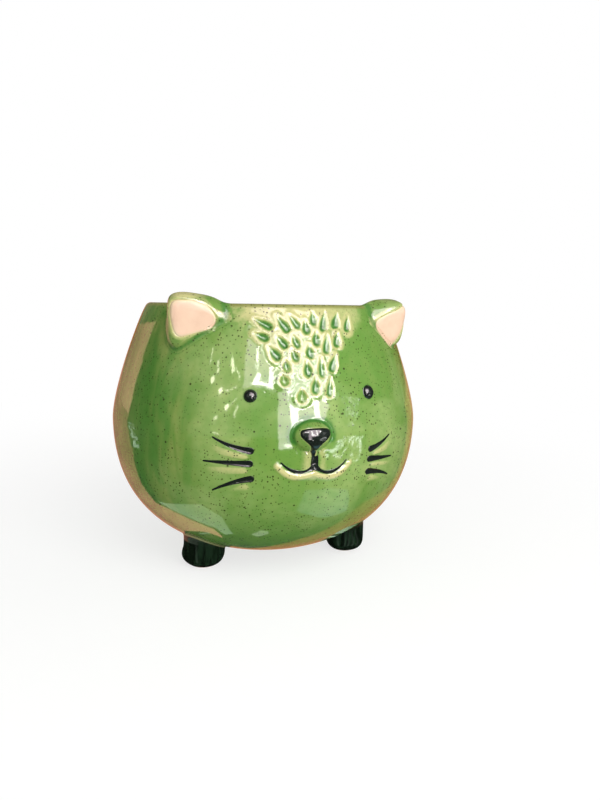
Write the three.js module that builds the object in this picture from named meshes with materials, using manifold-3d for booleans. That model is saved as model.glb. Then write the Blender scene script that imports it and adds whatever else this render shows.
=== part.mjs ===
// Cat planter: a round glazed pot on three feet, with the ears, face and whiskers of a cat.
// Millimetres, +Z up. The face looks along -Y, and left and right are those of someone who
// looks at the face, so +X is to the right. The origin is on the ground under the middle.
import * as THREE from 'three';
import { mergeVertices } from 'three/addons/utils/BufferGeometryUtils.js';
import Module from 'manifold-3d';

const wasm = await Module();
wasm.setup();

const degrees = Math.PI / 180;

// Gap left between pieces that touch on the real pot.
const seatGap = 0.3;

// Pot body: a bowl with a flat base, a wide belly and a narrower round lip.
const potWidth = 140;
const rimHeight = 114.5;
const bellyHeight = 63;
const baseClearance = 4.5;
const baseWidth = 46;
const baseRise = 13 * degrees;
const lipWidth = 104;
const lipLean = 30 * degrees;
const wallThickness = 5.5;
const floorThickness = 6;
const drainWidth = 12;

// How far the ends of the wall's two curves keep the directions that they start in.
const baseReach = 38;
const bellyReachDown = 25;
const bellyReachUp = 12;
const lipReach = 9;

// Ears: thick slabs that lean forwards and turn a little outwards. Their outlines are drawn
// on the plane of the lining, from a point that stands off the wall just under the rim.
const earAzimuth = 43 * degrees;
const earDrop = 5;
const earStandOff = 5.3;
const earYaw = 10 * degrees;
const earLean = 16 * degrees;
const earFront = 1.2;
const earTopThickness = 4.5;
const earRootThickness = 17;
const earRootRise = 0.5;
const earInnerReach = 18;
const earInnerRise = 3.2;
const earShoulderReach = 2.5;
const earShoulderDrop = 0.6;
const earFall = 15.6;
const earEdgeRound = 2;
const earTipRound = 6;
const earHeelRound = 5;
const earRootRound = 4;
const earCrestRound = 2.5;
const ears = [
  { name: 'left_ear', side: -1, rise: 9, outerReach: 10.2 },
  { name: 'right_ear', side: 1, rise: 7.6, outerReach: 9 },
];

// Ear linings: plates of bare clay let into shallow pockets in the ears.
const pocketDepth = 1.5;
const liningThickness = 0.8;
const liningOuterReach = 8.2;
const liningTopRise = 6;
const liningInnerReach = 8.8;
const liningFall = 11;
const liningHeelReach = 4.1;
const liningKneeDrop = 3.7;
const liningRound = 3;

// Eyes: small domes of black glaze.
const eyeAzimuth = 21.5 * degrees;
const eyeHeight = 80.5;
const eyeWidth = 5;
const eyeRise = 1.5;

// Nose: a low boss with a rounded three-cornered pad on it.
const noseAzimuth = -1.5 * degrees;
const noseHeight = 65.8;
const bossWidth = 15;
const bossHeight = 12.5;
const bossRise = 4.2;
const padWidth = 12.4;
const padTop = 2.9;
const padBottom = 4.1;
const padTipWidth = 2;
const padThickness = 0.7;
const padCornerRound = 2.2;
const padTipRound = 0.8;

// Grooves for the mouth and the whiskers, part filled with black glaze.
const grooveDepth = 1.2;
const fillDepth = 0.3;

// Mouth: a short upright line under the nose, and a smile of two curves from its foot.
const mouthAzimuth = -0.4 * degrees;
const mouthSplitHeight = 53.6;
const mouthLineTop = 58.8;
const mouthLineHalfWidth = 1.1;
const smileHalfWidth = 0.75;
const smileEndHalfWidth = 0.4;
const smileReach = 13.6;
const smileEndRise = 2.6;
const smileDip = 6.6;

// Whiskers: three on each cheek, thick at the inner end. Each end is given by its azimuth
// in degrees and its height, and the bow is how far the middle hangs under a straight line.
const whiskerInnerHalfWidth = 1.1;
const whiskerOuterHalfWidth = 0.35;
const whiskers = [
  { name: 'left_whisker_upper', inner: [-20.6, 60.2], outer: [-32.5, 65], bow: 0.7 },
  { name: 'left_whisker_middle', inner: [-20.9, 55.2], outer: [-35.7, 55.6], bow: 0 },
  { name: 'left_whisker_lower', inner: [-20.6, 49.2], outer: [-33.3, 43.9], bow: -0.7 },
  { name: 'right_whisker_upper', inner: [20.9, 58.1], outer: [30.2, 62.5], bow: 0.6 },
  { name: 'right_whisker_middle', inner: [20.8, 54], outer: [32.7, 53], bow: 0 },
  { name: 'right_whisker_lower', inner: [20.8, 48.7], outer: [32.8, 44.9], bow: -0.6 },
];

// Feet: three round stubs on one circle, two in front and one under the back.
const footCircle = 79.6;
const frontFootAzimuth = 57.5 * degrees;
const footWidth = 18.4;
const footBottomWidth = 8;
const footBottomRound = 7;
const feet = [
  { name: 'foot_front_left', azimuth: -frontFootAzimuth },
  { name: 'foot_front_right', azimuth: frontFootAzimuth },
  { name: 'foot_rear', azimuth: Math.PI },
];

// Fineness of the curved surfaces.
const turnSteps = 48;
const wallSteps = 8;
const lipSteps = 6;
const cornerSteps = 5;
const edgeSteps = 3;
const footSteps = 20;
const domeSteps = 16;
const strokeSteps = 6;

const lipRadius = wallThickness / 2;
const lipCentre = new THREE.Vector2(lipWidth / 2, rimHeight - lipRadius);
const potRadius = potWidth / 2;
const baseRadius = baseWidth / 2;
const floorHeight = baseClearance + floorThickness;

const greenGlaze = { color: 0x7fae4f, roughness: 0.18, metalness: 0 };
const blackGlaze = { color: 0x0c0f0d, roughness: 0.15, metalness: 0 };
const darkGreenGlaze = { color: 0x16241a, roughness: 0.18, metalness: 0 };
const bareClay = { color: 0xf5cba8, roughness: 0.7, metalness: 0 };

// A point of the round lip, whose turn is counted from straight outwards.
function lipPoint(turn, reach) {
  return new THREE.Vector2(Math.cos(turn), Math.sin(turn)).multiplyScalar(reach).add(lipCentre);
}

// The wall's two curves: from the edge of the base to the belly, and on to the lip.
function wallCurves() {
  const baseEdge = new THREE.Vector2(baseRadius, baseClearance);
  const alongTheBase = new THREE.Vector2(Math.cos(baseRise), Math.sin(baseRise));
  const belly = new THREE.Vector2(potRadius, bellyHeight);
  const lipEdge = lipPoint(lipLean, lipRadius);
  const upToTheLip = new THREE.Vector2(-Math.sin(lipLean), Math.cos(lipLean));
  return [
    new THREE.CubicBezierCurve(
      baseEdge,
      baseEdge.clone().addScaledVector(alongTheBase, baseReach),
      new THREE.Vector2(potRadius, bellyHeight - bellyReachDown),
      belly,
    ),
    new THREE.CubicBezierCurve(
      belly,
      new THREE.Vector2(potRadius, bellyHeight + bellyReachUp),
      lipEdge.clone().addScaledVector(upToTheLip, -lipReach),
      lipEdge,
    ),
  ];
}

// The outer wall from the edge of the base to the crest of the lip, moved outwards by `offset`.
function outerWall(offset) {
  const points = [];
  for (const curve of wallCurves()) {
    for (let step = 0; step < wallSteps; step += 1) {
      const along = step / wallSteps;
      const tangent = curve.getTangent(along);
      const outwards = new THREE.Vector2(tangent.y, -tangent.x);
      points.push(curve.getPoint(along).addScaledVector(outwards, offset));
    }
  }
  const halfLip = lipSteps / 2;
  for (let step = 0; step <= halfLip; step += 1) {
    const turn = lipLean + (Math.PI / 2 - lipLean) * (step / halfLip);
    points.push(lipPoint(turn, lipRadius + offset));
  }
  return points;
}

// The inner wall from the crest of the lip down to the flat floor.
function innerWall() {
  const lowestLipPoint = lipCentre.y - lipRadius;
  const downwards = outerWall(-wallThickness)
    .filter((point) => point.y < lowestLipPoint && point.y > floorHeight + seatGap)
    .reverse();
  const points = [];
  for (let step = 1; step < lipSteps; step += 1) {
    points.push(lipPoint(Math.PI / 2 + (Math.PI / 2 + lipLean) * (step / lipSteps), lipRadius));
  }
  points.push(...downwards);
  const [before, last] = downwards.slice(-2);
  const slope = (before.x - last.x) / (before.y - last.y);
  points.push(new THREE.Vector2(last.x - slope * (last.y - floorHeight), floorHeight));
  return points;
}

// A profile of radii and heights turned about the upright axis.
function turned(profile, steps) {
  return new THREE.LatheGeometry(profile, steps).rotateX(Math.PI / 2);
}

// All that lies inside the outer wall, moved outwards by `offset`, with the air over the mouth.
function filledPot(offset) {
  const wall = outerWall(offset);
  const crest = wall[wall.length - 1];
  const headroom = rimHeight * 2;
  return turned([
    new THREE.Vector2(0, baseClearance - offset),
    ...wall,
    new THREE.Vector2(crest.x, headroom),
    new THREE.Vector2(0, headroom),
  ], turnSteps);
}

// A closed geometry as a solid that can be joined and cut.
function solidOf(geometry) {
  const bare = geometry.clone();
  bare.deleteAttribute('normal');
  bare.deleteAttribute('uv');
  const merged = mergeVertices(bare, 1e-4);
  return new wasm.Manifold(new wasm.Mesh({
    numProp: 3,
    vertProperties: Float32Array.from(merged.attributes.position.array),
    triVerts: Uint32Array.from(merged.index.array),
  }));
}

function geometryOf(solid) {
  const { vertProperties, triVerts } = solid.getMesh();
  const geometry = new THREE.BufferGeometry();
  geometry.setAttribute('position', new THREE.BufferAttribute(vertProperties, 3));
  geometry.setIndex([...triVerts]);
  geometry.computeVertexNormals();
  return geometry;
}

// A named mesh of one finish, whose geometry is in the frame of its place.
function piece(name, solid, finish, place = new THREE.Object3D()) {
  const mesh = new THREE.Mesh(geometryOf(solid), new THREE.MeshStandardMaterial(finish));
  mesh.name = name;
  mesh.position.copy(place.position);
  mesh.rotation.copy(place.rotation);
  return mesh;
}

// The pot's radius and the wall's upward tilt at a height.
function wallAt(height) {
  const wall = outerWall(0);
  const above = wall.findIndex((point) => point.y > height);
  const high = wall[above];
  const low = wall[above - 1];
  const share = (height - low.y) / (high.y - low.y);
  return {
    radius: low.x + (high.x - low.x) * share,
    tilt: Math.atan2(low.x - high.x, high.y - low.y),
  };
}

// The point at an azimuth, a radius and a height. Azimuth 0 is the middle of the face.
function pointAt(azimuth, radius, height) {
  return new THREE.Vector3(radius * Math.sin(azimuth), -radius * Math.cos(azimuth), height);
}

// A place at a point, whose x runs to the right, whose y runs up and whose z points out. It is
// turned about the upright axis by `turn`, and then looks up by `tilt`.
function placeAt(point, turn, tilt) {
  const place = new THREE.Object3D();
  place.position.copy(point);
  place.rotation.set(Math.PI / 2 - tilt, 0, turn, 'ZXY');
  place.updateMatrix();
  return place;
}

function placeOnWall(azimuth, height) {
  const { radius, tilt } = wallAt(height);
  return placeAt(pointAt(azimuth, radius, height), azimuth, tilt);
}

// The filled pot, moved outwards by `offset`, in the frame of a place.
function potFrom(place, offset) {
  return solidOf(filledPot(offset).applyMatrix4(place.matrix.clone().invert()));
}

// A straight-sided outline whose corners [x, y, cut] are each rounded over a length `cut`,
// or over a little less than half of a side where that is shorter.
function roundedOutline(corners) {
  const shape = new THREE.Shape();
  const count = corners.length;
  const shareOfSide = 0.45;
  corners.forEach(([x, y, cut], index) => {
    const corner = new THREE.Vector2(x, y);
    const [previousX, previousY] = corners[(index + count - 1) % count];
    const [nextX, nextY] = corners[(index + 1) % count];
    const back = new THREE.Vector2(previousX, previousY).sub(corner);
    const ahead = new THREE.Vector2(nextX, nextY).sub(corner);
    const reach = Math.min(cut, back.length() * shareOfSide, ahead.length() * shareOfSide);
    const start = back.setLength(reach).add(corner);
    const end = ahead.setLength(reach).add(corner);
    if (index === 0) shape.moveTo(start.x, start.y);
    else shape.lineTo(start.x, start.y);
    shape.quadraticCurveTo(x, y, end.x, end.y);
  });
  shape.closePath();
  return shape;
}

// Points of a half circle about the end of a stroke, clockwise from the heading `from`.
function roundEnd(centre, half, from) {
  const points = [];
  for (let step = 1; step < cornerSteps; step += 1) {
    const turn = from - Math.PI * (step / cornerSteps);
    points.push(new THREE.Vector2(Math.cos(turn), Math.sin(turn)).multiplyScalar(half).add(centre));
  }
  return points;
}

// A brush stroke along a curve, with round ends. Its half width runs from `startHalf` to
// `endHalf`, and `margin` makes it wider all round.
function strokeOutline(curve, startHalf, endHalf, margin) {
  const onTheLeft = [];
  const onTheRight = [];
  for (let step = 0; step <= strokeSteps; step += 1) {
    const along = step / strokeSteps;
    const half = startHalf + (endHalf - startHalf) * along + margin;
    const tangent = curve.getTangent(along);
    const leftwards = new THREE.Vector2(-tangent.y, tangent.x);
    onTheLeft.push(curve.getPoint(along).addScaledVector(leftwards, half));
    onTheRight.push(curve.getPoint(along).addScaledVector(leftwards, -half));
  }
  const startHeading = curve.getTangent(0).angle();
  const endHeading = curve.getTangent(1).angle();
  return new THREE.Shape([
    ...onTheLeft,
    ...roundEnd(curve.getPoint(1), endHalf + margin, endHeading + Math.PI / 2),
    ...onTheRight.reverse(),
    ...roundEnd(curve.getPoint(0), startHalf + margin, startHeading - Math.PI / 2),
  ]);
}

// An outline made solid from `back` to `front` along the outward direction.
function slab(outline, back, front, round = 0) {
  return new THREE.ExtrudeGeometry(outline, {
    depth: front - back - 2 * round,
    bevelEnabled: round > 0,
    bevelSize: round,
    bevelThickness: round,
    bevelOffset: -round,
    bevelSegments: edgeSteps,
    curveSegments: cornerSteps,
    steps: 1,
  }).translate(0, 0, back + round);
}

// Strokes as one solid, long enough to pass through the wall anywhere along them.
function joinedStrokes(outlines) {
  const reach = wallThickness * 2;
  const solids = outlines.map((outline) => solidOf(slab(outline, -reach, reach)));
  return solids.reduce((joined, solid) => joined.add(solid));
}

// What a set of strokes cuts out of the wall, in the pot's own frame.
function grooveCutter(place, outlines) {
  const cut = joinedStrokes(outlines).subtract(potFrom(place, -grooveDepth));
  return solidOf(geometryOf(cut).applyMatrix4(place.matrix));
}

// The glaze that lies in that groove, in the frame of its place.
function grooveFill(place, outlines) {
  return joinedStrokes(outlines)
    .intersect(potFrom(place, -fillDepth))
    .subtract(potFrom(place, seatGap - grooveDepth));
}

function whiskerPlace({ inner, outer }) {
  const azimuth = ((inner[0] + outer[0]) / 2) * degrees;
  return placeOnWall(azimuth, (inner[1] + outer[1]) / 2);
}

function whiskerOutline(whisker, margin) {
  const toPlace = whiskerPlace(whisker).matrix.invert();
  const [start, end] = [whisker.inner, whisker.outer].map(([azimuth, height]) => {
    const onWall = pointAt(azimuth * degrees, wallAt(height).radius, height);
    const { x, y } = onWall.applyMatrix4(toPlace);
    return new THREE.Vector2(x, y);
  });
  const middle = start.clone().lerp(end, 0.5);
  middle.y -= 2 * whisker.bow;
  const curve = new THREE.QuadraticBezierCurve(start, middle, end);
  return strokeOutline(curve, whiskerInnerHalfWidth, whiskerOuterHalfWidth, margin);
}

function mouthPlace() {
  return placeOnWall(mouthAzimuth, mouthSplitHeight);
}

function mouthOutlines(margin) {
  const split = new THREE.Vector2(0, 0);
  const top = new THREE.Vector2(0, mouthLineTop - mouthSplitHeight);
  const upright = new THREE.LineCurve(top, split);
  const outlines = [strokeOutline(upright, mouthLineHalfWidth, mouthLineHalfWidth, margin)];
  for (const side of [-1, 1]) {
    const smile = new THREE.QuadraticBezierCurve(
      split,
      new THREE.Vector2((side * smileReach) / 2, -smileDip),
      new THREE.Vector2(side * smileReach, smileEndRise),
    );
    outlines.push(strokeOutline(smile, smileHalfWidth, smileEndHalfWidth, margin));
  }
  return outlines;
}

// The pot itself: wall, floor and drain hole, with the grooves of the mouth and the whiskers.
function potBody() {
  const drainFoot = new THREE.Vector2(drainWidth / 2, baseClearance);
  const drainMouth = new THREE.Vector2(drainWidth / 2, floorHeight);
  const profile = [drainFoot, ...outerWall(0), ...innerWall(), drainMouth, drainFoot.clone()];
  let body = solidOf(turned(profile, turnSteps));
  body = body.subtract(grooveCutter(mouthPlace(), mouthOutlines(seatGap)));
  for (const whisker of whiskers) {
    body = body.subtract(grooveCutter(whiskerPlace(whisker), [whiskerOutline(whisker, seatGap)]));
  }
  return piece('pot_body', body, greenGlaze);
}

function earPlace(side) {
  const height = rimHeight - earDrop;
  const radius = wallAt(height).radius + earStandOff;
  return placeAt(pointAt(side * earAzimuth, radius, height), side * earYaw, -earLean);
}

// The outline of an ear from the front. Its lower part runs into the pot.
function earFrontView({ side, rise, outerReach }) {
  const corners = [
    [outerReach, -earFall, earHeelRound],
    [outerReach, rise, earTipRound],
    [-earShoulderReach, rise - earShoulderDrop, earTipRound],
    [-earInnerReach, earInnerRise, earRootRound],
    [-earInnerReach, -earFall / 2, earRootRound],
    [0, -earFall, earRootRound],
  ];
  return roundedOutline(corners.map(([x, y, cut]) => [side * x, y, cut]));
}

// The outline of an ear from its side, whose back slopes down from the crest to the rim.
function earSideView({ rise }) {
  return roundedOutline([
    [earFront, -earFall, earEdgeRound],
    [earFront, rise, earCrestRound],
    [earFront - earTopThickness, rise, earCrestRound],
    [earFront - earRootThickness, earRootRise, earEdgeRound],
    [earFront - earRootThickness, -earFall, earEdgeRound],
  ]);
}

function liningOutline(side, margin) {
  const corners = [
    [liningOuterReach - margin, liningTopRise - margin],
    [-earShoulderReach, liningTopRise - margin],
    [-liningInnerReach + margin, 0],
    [liningHeelReach, -liningFall + margin],
    [liningOuterReach - margin, -liningKneeDrop],
  ];
  return roundedOutline(corners.map(([x, y]) => [side * x, y, liningRound]));
}

function ear(shape) {
  const place = earPlace(shape.side);
  const width = earInnerReach + shape.outerReach;
  const face = slab(earFrontView(shape), earFront - earRootThickness, earFront, earEdgeRound);
  const wedge = slab(earSideView(shape), -width, width).rotateY(-Math.PI / 2);
  const pocket = slab(liningOutline(shape.side, 0), earFront - pocketDepth, earFront + pocketDepth);
  const solid = solidOf(face)
    .intersect(solidOf(wedge))
    .subtract(potFrom(place, seatGap))
    .subtract(solidOf(pocket));
  return piece(shape.name, solid, greenGlaze, place);
}

function earLining({ name, side }) {
  const place = earPlace(side);
  const back = earFront - pocketDepth + seatGap;
  const plate = slab(liningOutline(side, seatGap), back, back + liningThickness);
  const trimmed = solidOf(plate).subtract(potFrom(place, seatGap));
  return piece(`${name}_lining`, trimmed, bareClay, place);
}

// An ellipsoid about a place, as wide, as high and half as deep as a dome on the wall.
function dome(width, height, rise) {
  return new THREE.SphereGeometry(1, domeSteps, domeSteps / 2)
    .rotateX(Math.PI / 2)
    .scale(width / 2, height / 2, rise);
}

function eye(name, side) {
  const place = placeOnWall(side * eyeAzimuth, eyeHeight);
  const ball = solidOf(dome(eyeWidth, eyeWidth, eyeRise));
  return piece(name, ball.subtract(potFrom(place, seatGap)), blackGlaze, place);
}

function nosePlace() {
  return placeOnWall(noseAzimuth, noseHeight);
}

// The boss, made larger all round by `margin`.
function bossDome(margin) {
  return solidOf(dome(bossWidth + 2 * margin, bossHeight + 2 * margin, bossRise + margin));
}

function noseBoss() {
  const place = nosePlace();
  return piece('nose_boss', bossDome(0).subtract(potFrom(place, seatGap)), greenGlaze, place);
}

function nosePad() {
  const place = nosePlace();
  const outline = roundedOutline([
    [padWidth / 2, padTop, padCornerRound],
    [-padWidth / 2, padTop, padCornerRound],
    [-padTipWidth / 2, -padBottom, padTipRound],
    [padTipWidth / 2, -padBottom, padTipRound],
  ]);
  const pad = solidOf(slab(outline, 0, bossRise * 2))
    .intersect(bossDome(seatGap + padThickness))
    .subtract(bossDome(seatGap))
    .subtract(potFrom(place, seatGap));
  return piece('nose_pad', pad, blackGlaze, place);
}

function mouthLine() {
  const place = mouthPlace();
  return piece('mouth_line', grooveFill(place, mouthOutlines(0)), blackGlaze, place);
}

function whiskerLine(whisker) {
  const place = whiskerPlace(whisker);
  const fill = grooveFill(place, [whiskerOutline(whisker, 0)]);
  return piece(whisker.name, fill, blackGlaze, place);
}

// A foot starts as a stub that reaches up to the belly, and the pot's underside trims it.
function foot({ name, azimuth }) {
  const place = placeAt(pointAt(azimuth, footCircle / 2, 0), 0, Math.PI / 2);
  const bottomRadius = footBottomWidth / 2;
  const bulge = (footWidth - footBottomWidth) / 2;
  const profile = [new THREE.Vector2(0, 0)];
  for (let step = 0; step <= cornerSteps; step += 1) {
    const turn = (Math.PI / 2) * (step / cornerSteps);
    const radius = bottomRadius + bulge * Math.sin(turn);
    profile.push(new THREE.Vector2(radius, footBottomRound * (1 - Math.cos(turn))));
  }
  profile.push(new THREE.Vector2(footWidth / 2, bellyHeight));
  profile.push(new THREE.Vector2(0, bellyHeight));
  const stub = solidOf(turned(profile, footSteps)).subtract(potFrom(place, seatGap));
  return piece(name, stub, darkGreenGlaze, place);
}

const planter = new THREE.Group();
planter.add(
  potBody(),
  ...ears.map(ear),
  ...ears.map(earLining),
  eye('left_eye', -1),
  eye('right_eye', 1),
  noseBoss(),
  nosePad(),
  mouthLine(),
  ...whiskers.map(whiskerLine),
  ...feet.map(foot),
);

// The nose stands out in front, so the pot's axis lies half that far behind the middle.
const noseReach = wallAt(noseHeight).radius + bossRise + seatGap + padThickness;
planter.position.y = (noseReach - potRadius) / 2;

const group = new THREE.Group();
group.add(planter);

export default group;
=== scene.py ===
"""Cat planter: the fine glazed surfaces, their finishes, the light and the camera."""
import math
from functools import partial

import bmesh
import bpy
import numpy as np
from mathutils import Matrix, Vector


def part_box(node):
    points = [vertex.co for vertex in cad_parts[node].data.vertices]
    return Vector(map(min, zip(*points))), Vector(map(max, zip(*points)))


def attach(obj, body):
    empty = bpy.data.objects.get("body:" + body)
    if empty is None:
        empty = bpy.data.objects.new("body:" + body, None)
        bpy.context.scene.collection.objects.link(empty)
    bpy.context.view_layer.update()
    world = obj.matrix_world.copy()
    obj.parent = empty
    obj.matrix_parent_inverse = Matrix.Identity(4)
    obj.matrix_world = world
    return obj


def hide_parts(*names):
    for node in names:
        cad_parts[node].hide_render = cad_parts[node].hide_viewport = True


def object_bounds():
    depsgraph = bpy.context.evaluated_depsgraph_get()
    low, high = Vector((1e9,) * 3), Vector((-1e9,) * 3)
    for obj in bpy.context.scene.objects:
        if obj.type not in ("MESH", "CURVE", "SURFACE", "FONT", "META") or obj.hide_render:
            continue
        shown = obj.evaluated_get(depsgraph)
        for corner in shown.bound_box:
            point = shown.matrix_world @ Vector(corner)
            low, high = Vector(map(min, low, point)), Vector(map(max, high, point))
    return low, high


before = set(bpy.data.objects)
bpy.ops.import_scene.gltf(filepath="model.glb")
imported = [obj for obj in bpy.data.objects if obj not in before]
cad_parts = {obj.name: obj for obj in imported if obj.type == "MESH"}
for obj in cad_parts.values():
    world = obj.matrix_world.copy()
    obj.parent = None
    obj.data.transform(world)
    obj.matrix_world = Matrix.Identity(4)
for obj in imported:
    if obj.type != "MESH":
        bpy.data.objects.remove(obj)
cad_low, cad_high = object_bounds()

# Sizes are in millimetres, and a mesh is scaled to metres when it is made.
TO_METRES = 0.001
# Points nearer to each other than this, in metres, are merged.
SAME_PLACE = 1e-6

# Pot body
POT_RADIUS = 70.0
POT_AXIS = cad_high.y / TO_METRES - POT_RADIUS
RIM_HEIGHT = 114.5
BELLY_HEIGHT = 63.0
BASE_CLEARANCE = 4.5
BASE_RADIUS = 23.0
BASE_RISE = math.radians(13)
LIP_REACH = 52.0
LIP_LEAN = math.radians(30)
WALL_THICKNESS = 5.5
FLOOR_HEIGHT = 10.5
DRAIN_RADIUS = 6.0
DRAIN_EDGE_ROUND = 0.9
LIP_ROUND = WALL_THICKNESS / 2
LIP_HEIGHT = RIM_HEIGHT - LIP_ROUND

# How far the wall's two curves lead on straight at their ends.
BASE_LEAD = 38.0
BELLY_LEAD_DOWN = 25.0
BELLY_LEAD_UP = 12.0
LIP_LEAD = 9.0

# Mean depth of the hand's broad lobes and of its finer ripples in the wall.
LOBE_DEPTH = 0.10
RIPPLE_DEPTH = 0.04

# The pot's mesh, which is finer on the face than below and behind it.
FACE_BOTTOM = 43.0
FACE_HALF_ANGLE = math.radians(62)
FACE_COLUMNS = 216
BACK_COLUMNS = 104
ROW_GAPS = {"flat": 3.0, "low": 1.7, "face": 0.5, "lip": 0.45, "inside": 2.6}

# How deep a fitted piece's skirt dips under the glaze of the pot, and how thick it is there.
SKIRT_DIP = 0.02
SKIRT_DEPTH = 0.7

# Ears
EAR_AZIMUTH = math.radians(43)
EAR_DROP = 5.0
EAR_STAND_OFF = 5.3
EAR_YAW = math.radians(10)
EAR_LEAN = math.radians(16)
EAR_FRONT = 1.2
EAR_INNER_REACH = 18.0
EAR_INNER_RISE = 3.2
EAR_SHOULDER_REACH = 3.0
EAR_SHOULDER_DROP = 0.4
EAR_FALL = 15.6
EAR_TOP_THICKNESS = 4.5
EAR_ROOT_THICKNESS = 17.0
EAR_ROOT_RISE = 0.5
EAR_FILLET = 2.4
EARS = {
    "left_ear": {
        "side": -1, "rise": 9.33, "outer": 9.8, "worn": 1.0,
        "fold": ((-3.5, 5.9, 1.2), (-16.3, -1.7, 1.2), (-12.0, 5.2, -5.5)),
        "underside": ((-16.3, -3.5), (2.0, -9.2), (6.0, -14.0)),
        "lining": [(8.5, 6.0), (-3.6, 6.0), (-9.3, 0.2), (-9.0, -3.6), (6.6, -8.7), (8.5, -5.0)],
    },
    "right_ear": {
        "side": 1, "rise": 8.1, "outer": 9.0, "worn": 0.25,
        "fold": ((0.0, 5.0, 1.2), (-11.5, -2.6, 1.2), (-10.0, 4.6, -5.5)),
        "underside": ((-12.0, -6.0), (1.5, -12.6), (5.5, -16.5)),
        "lining": [(8.9, 5.6), (-7.5, -0.3), (-9.2, -2.6), (2.4, -13.4), (8.3, -4.6)],
    },
}
POCKET_DEPTH = 0.38
LINING_DEPTH = 0.14
LINING_ROUND = 4.0
LINING_BACK = 4.0

# How far the ear's side view runs on over and under its front view, and how round its edges are.
EAR_OVER = 3.0
EAR_UNDER = 5.0
EAR_ROUND = {"front view": 8.0, "side view": 3.0, "edges": 4.4, "fold": 2.6, "underside": 1.6, "inside": 3.0}

# Face
EYE_AZIMUTHS = {-1: math.radians(-21.0), 1: math.radians(21.6)}
EYE_HEIGHT = 80.5
EYE_RADII = {-1: 2.3, 1: 2.6}
EYE_RISE = 1.5
EYE_FILLET = 0.5
NOSE_AZIMUTH = math.radians(-1.5)
NOSE_HEIGHT = 65.8
BOSS_SIZE = (7.3, 5.4, 4.2)
BOSS_FILLET = 2.4
PAD_THICKNESS = 0.6
PAD_THIN_END = 0.12
PAD_CORNERS = [
    (-3.4, 2.9), (0.7, 3.15), (4.9, 2.95), (6.7, 2.2), (6.9, 0.2), (5.3, -1.5), (3.1, -3.1), (1.9, -4.4),
    (1.8, -8.6), (-0.5, -8.6), (-1.1, -4.4), (-2.3, -3.0), (-4.2, -1.4), (-5.6, 0.2), (-5.4, 2.3),
]
MOUTH_AZIMUTH = math.radians(-0.4)
MOUTH_HEIGHT = 53.6
UPRIGHT_RISE = 8.2
# The smile's curves: side, reach, rise of the end, and dip.
SMILE_SIDES = ((-1, 13.1, 2.05, 4.75), (1, 13.5, 1.6, 6.1))

# Whiskers: inner end, outer end, as azimuth in degrees and height, and how far they bow.
WHISKERS = {
    "left_whisker_upper": ((-20.6, 60.2), (-32.5, 65.0), 0.7),
    "left_whisker_middle": ((-20.9, 55.2), (-35.7, 55.6), 0.0),
    "left_whisker_lower": ((-20.6, 49.2), (-33.3, 43.9), -0.7),
    "right_whisker_upper": ((20.9, 58.1), (30.2, 62.5), 0.6),
    "right_whisker_middle": ((20.8, 54.0), (32.7, 53.0), 0.0),
    "right_whisker_lower": ((20.8, 48.7), (32.8, 44.9), -0.6),
}

# Tool marks for fur on the forehead: pointed end and round end, as azimuth and height.
FUR_MARKS = [
    ((-20.8, 108.9), (-14.9, 105.9)), ((-12.1, 110.1), (-8.2, 105.0)), ((-7.0, 110.4), (-3.9, 106.3)),
    ((-0.8, 108.3), (-0.5, 104.6)), ((2.8, 111.6), (2.7, 107.7)), ((8.3, 111.7), (6.2, 105.3)),
    ((14.3, 111.4), (11.9, 106.4)), ((19.6, 110.3), (17.3, 105.0)), ((-20.4, 103.3), (-16.3, 101.6)),
    ((-12.2, 102.6), (-9.3, 99.0)), ((-6.2, 103.0), (-4.6, 99.1)), ((3.1, 104.2), (2.9, 100.2)),
    ((7.6, 103.0), (6.3, 97.0)), ((12.5, 103.9), (11.1, 99.4)), ((-15.1, 98.6), (-12.0, 94.8)),
    ((-7.0, 97.5), (-5.4, 94.1)), ((-0.3, 99.2), (-0.1, 95.4)), ((9.8, 95.4), (7.5, 90.1)),
    ((-9.4, 93.5), (-8.8, 90.4)), ((-1.8, 93.1), (-1.4, 88.7)), ((3.7, 94.4), (3.6, 88.2)),
    ((-10.8, 88.2), (-9.7, 85.6)), ((1.1, 87.2), (0.6, 82.4)), ((6.4, 87.0), (5.5, 81.0)),
    ((-4.2, 83.0), (-4.2, 79.5)),
]

# How each kind of stroke is pressed in, and the bank of clay that it raises.
MARK_PRESS = {"Depth": 0.7, "Slope": 1.7, "Bank rise": 0.42, "Bank width": 2.4, "All round": 1.0}
WHISKER_PRESS = {
    "Depth": 1.0, "Slope": 0.7, "Bank rise": 0.25, "Bank width": 3.3, "Bank drop": 2.0, "Bank spread": 2.6,
    "Bank fade": 0.55,
}
SMILE_PRESS = {
    "Depth": 1.0, "Slope": 0.6, "Bank rise": 0.5, "Bank start": 0.4, "Bank width": 1.6, "Bank drop": 1.2,
    "Bank spread": 1.3,
}
# How far to each side of the face's middle a bank's spread goes on growing.
SPREAD_REACH = 8.0

# The beads of black glaze in the mouth and the whiskers.
BEAD = {
    "Steps along": 60, "Steps across": 11, "End share": 0.09, "Edge lift": 0.06, "Dip": 0.45, "Margin": 0.1,
}
BEAD_THICKNESS = 0.8

# Feet
FOOT_CIRCLE = 39.8
FRONT_FOOT_AZIMUTH = math.radians(57.5)
FOOT_RADIUS = 9.2
FOOT_ROUND = 6.8
FOOT_FILLET = 1.4
TOE_TURN = math.radians(32)
TOE_REACH = 6.4
TOE_HEIGHT = 5.8
TOE_RADIUS = 3.4
TOE_FILLET = 3.0
FEET = {
    "foot_front_left": -FRONT_FOOT_AZIMUTH,
    "foot_front_right": FRONT_FOOT_AZIMUTH,
    "foot_rear": math.pi,
}


# Shapes of the pot, as functions of points in millimetres

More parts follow.
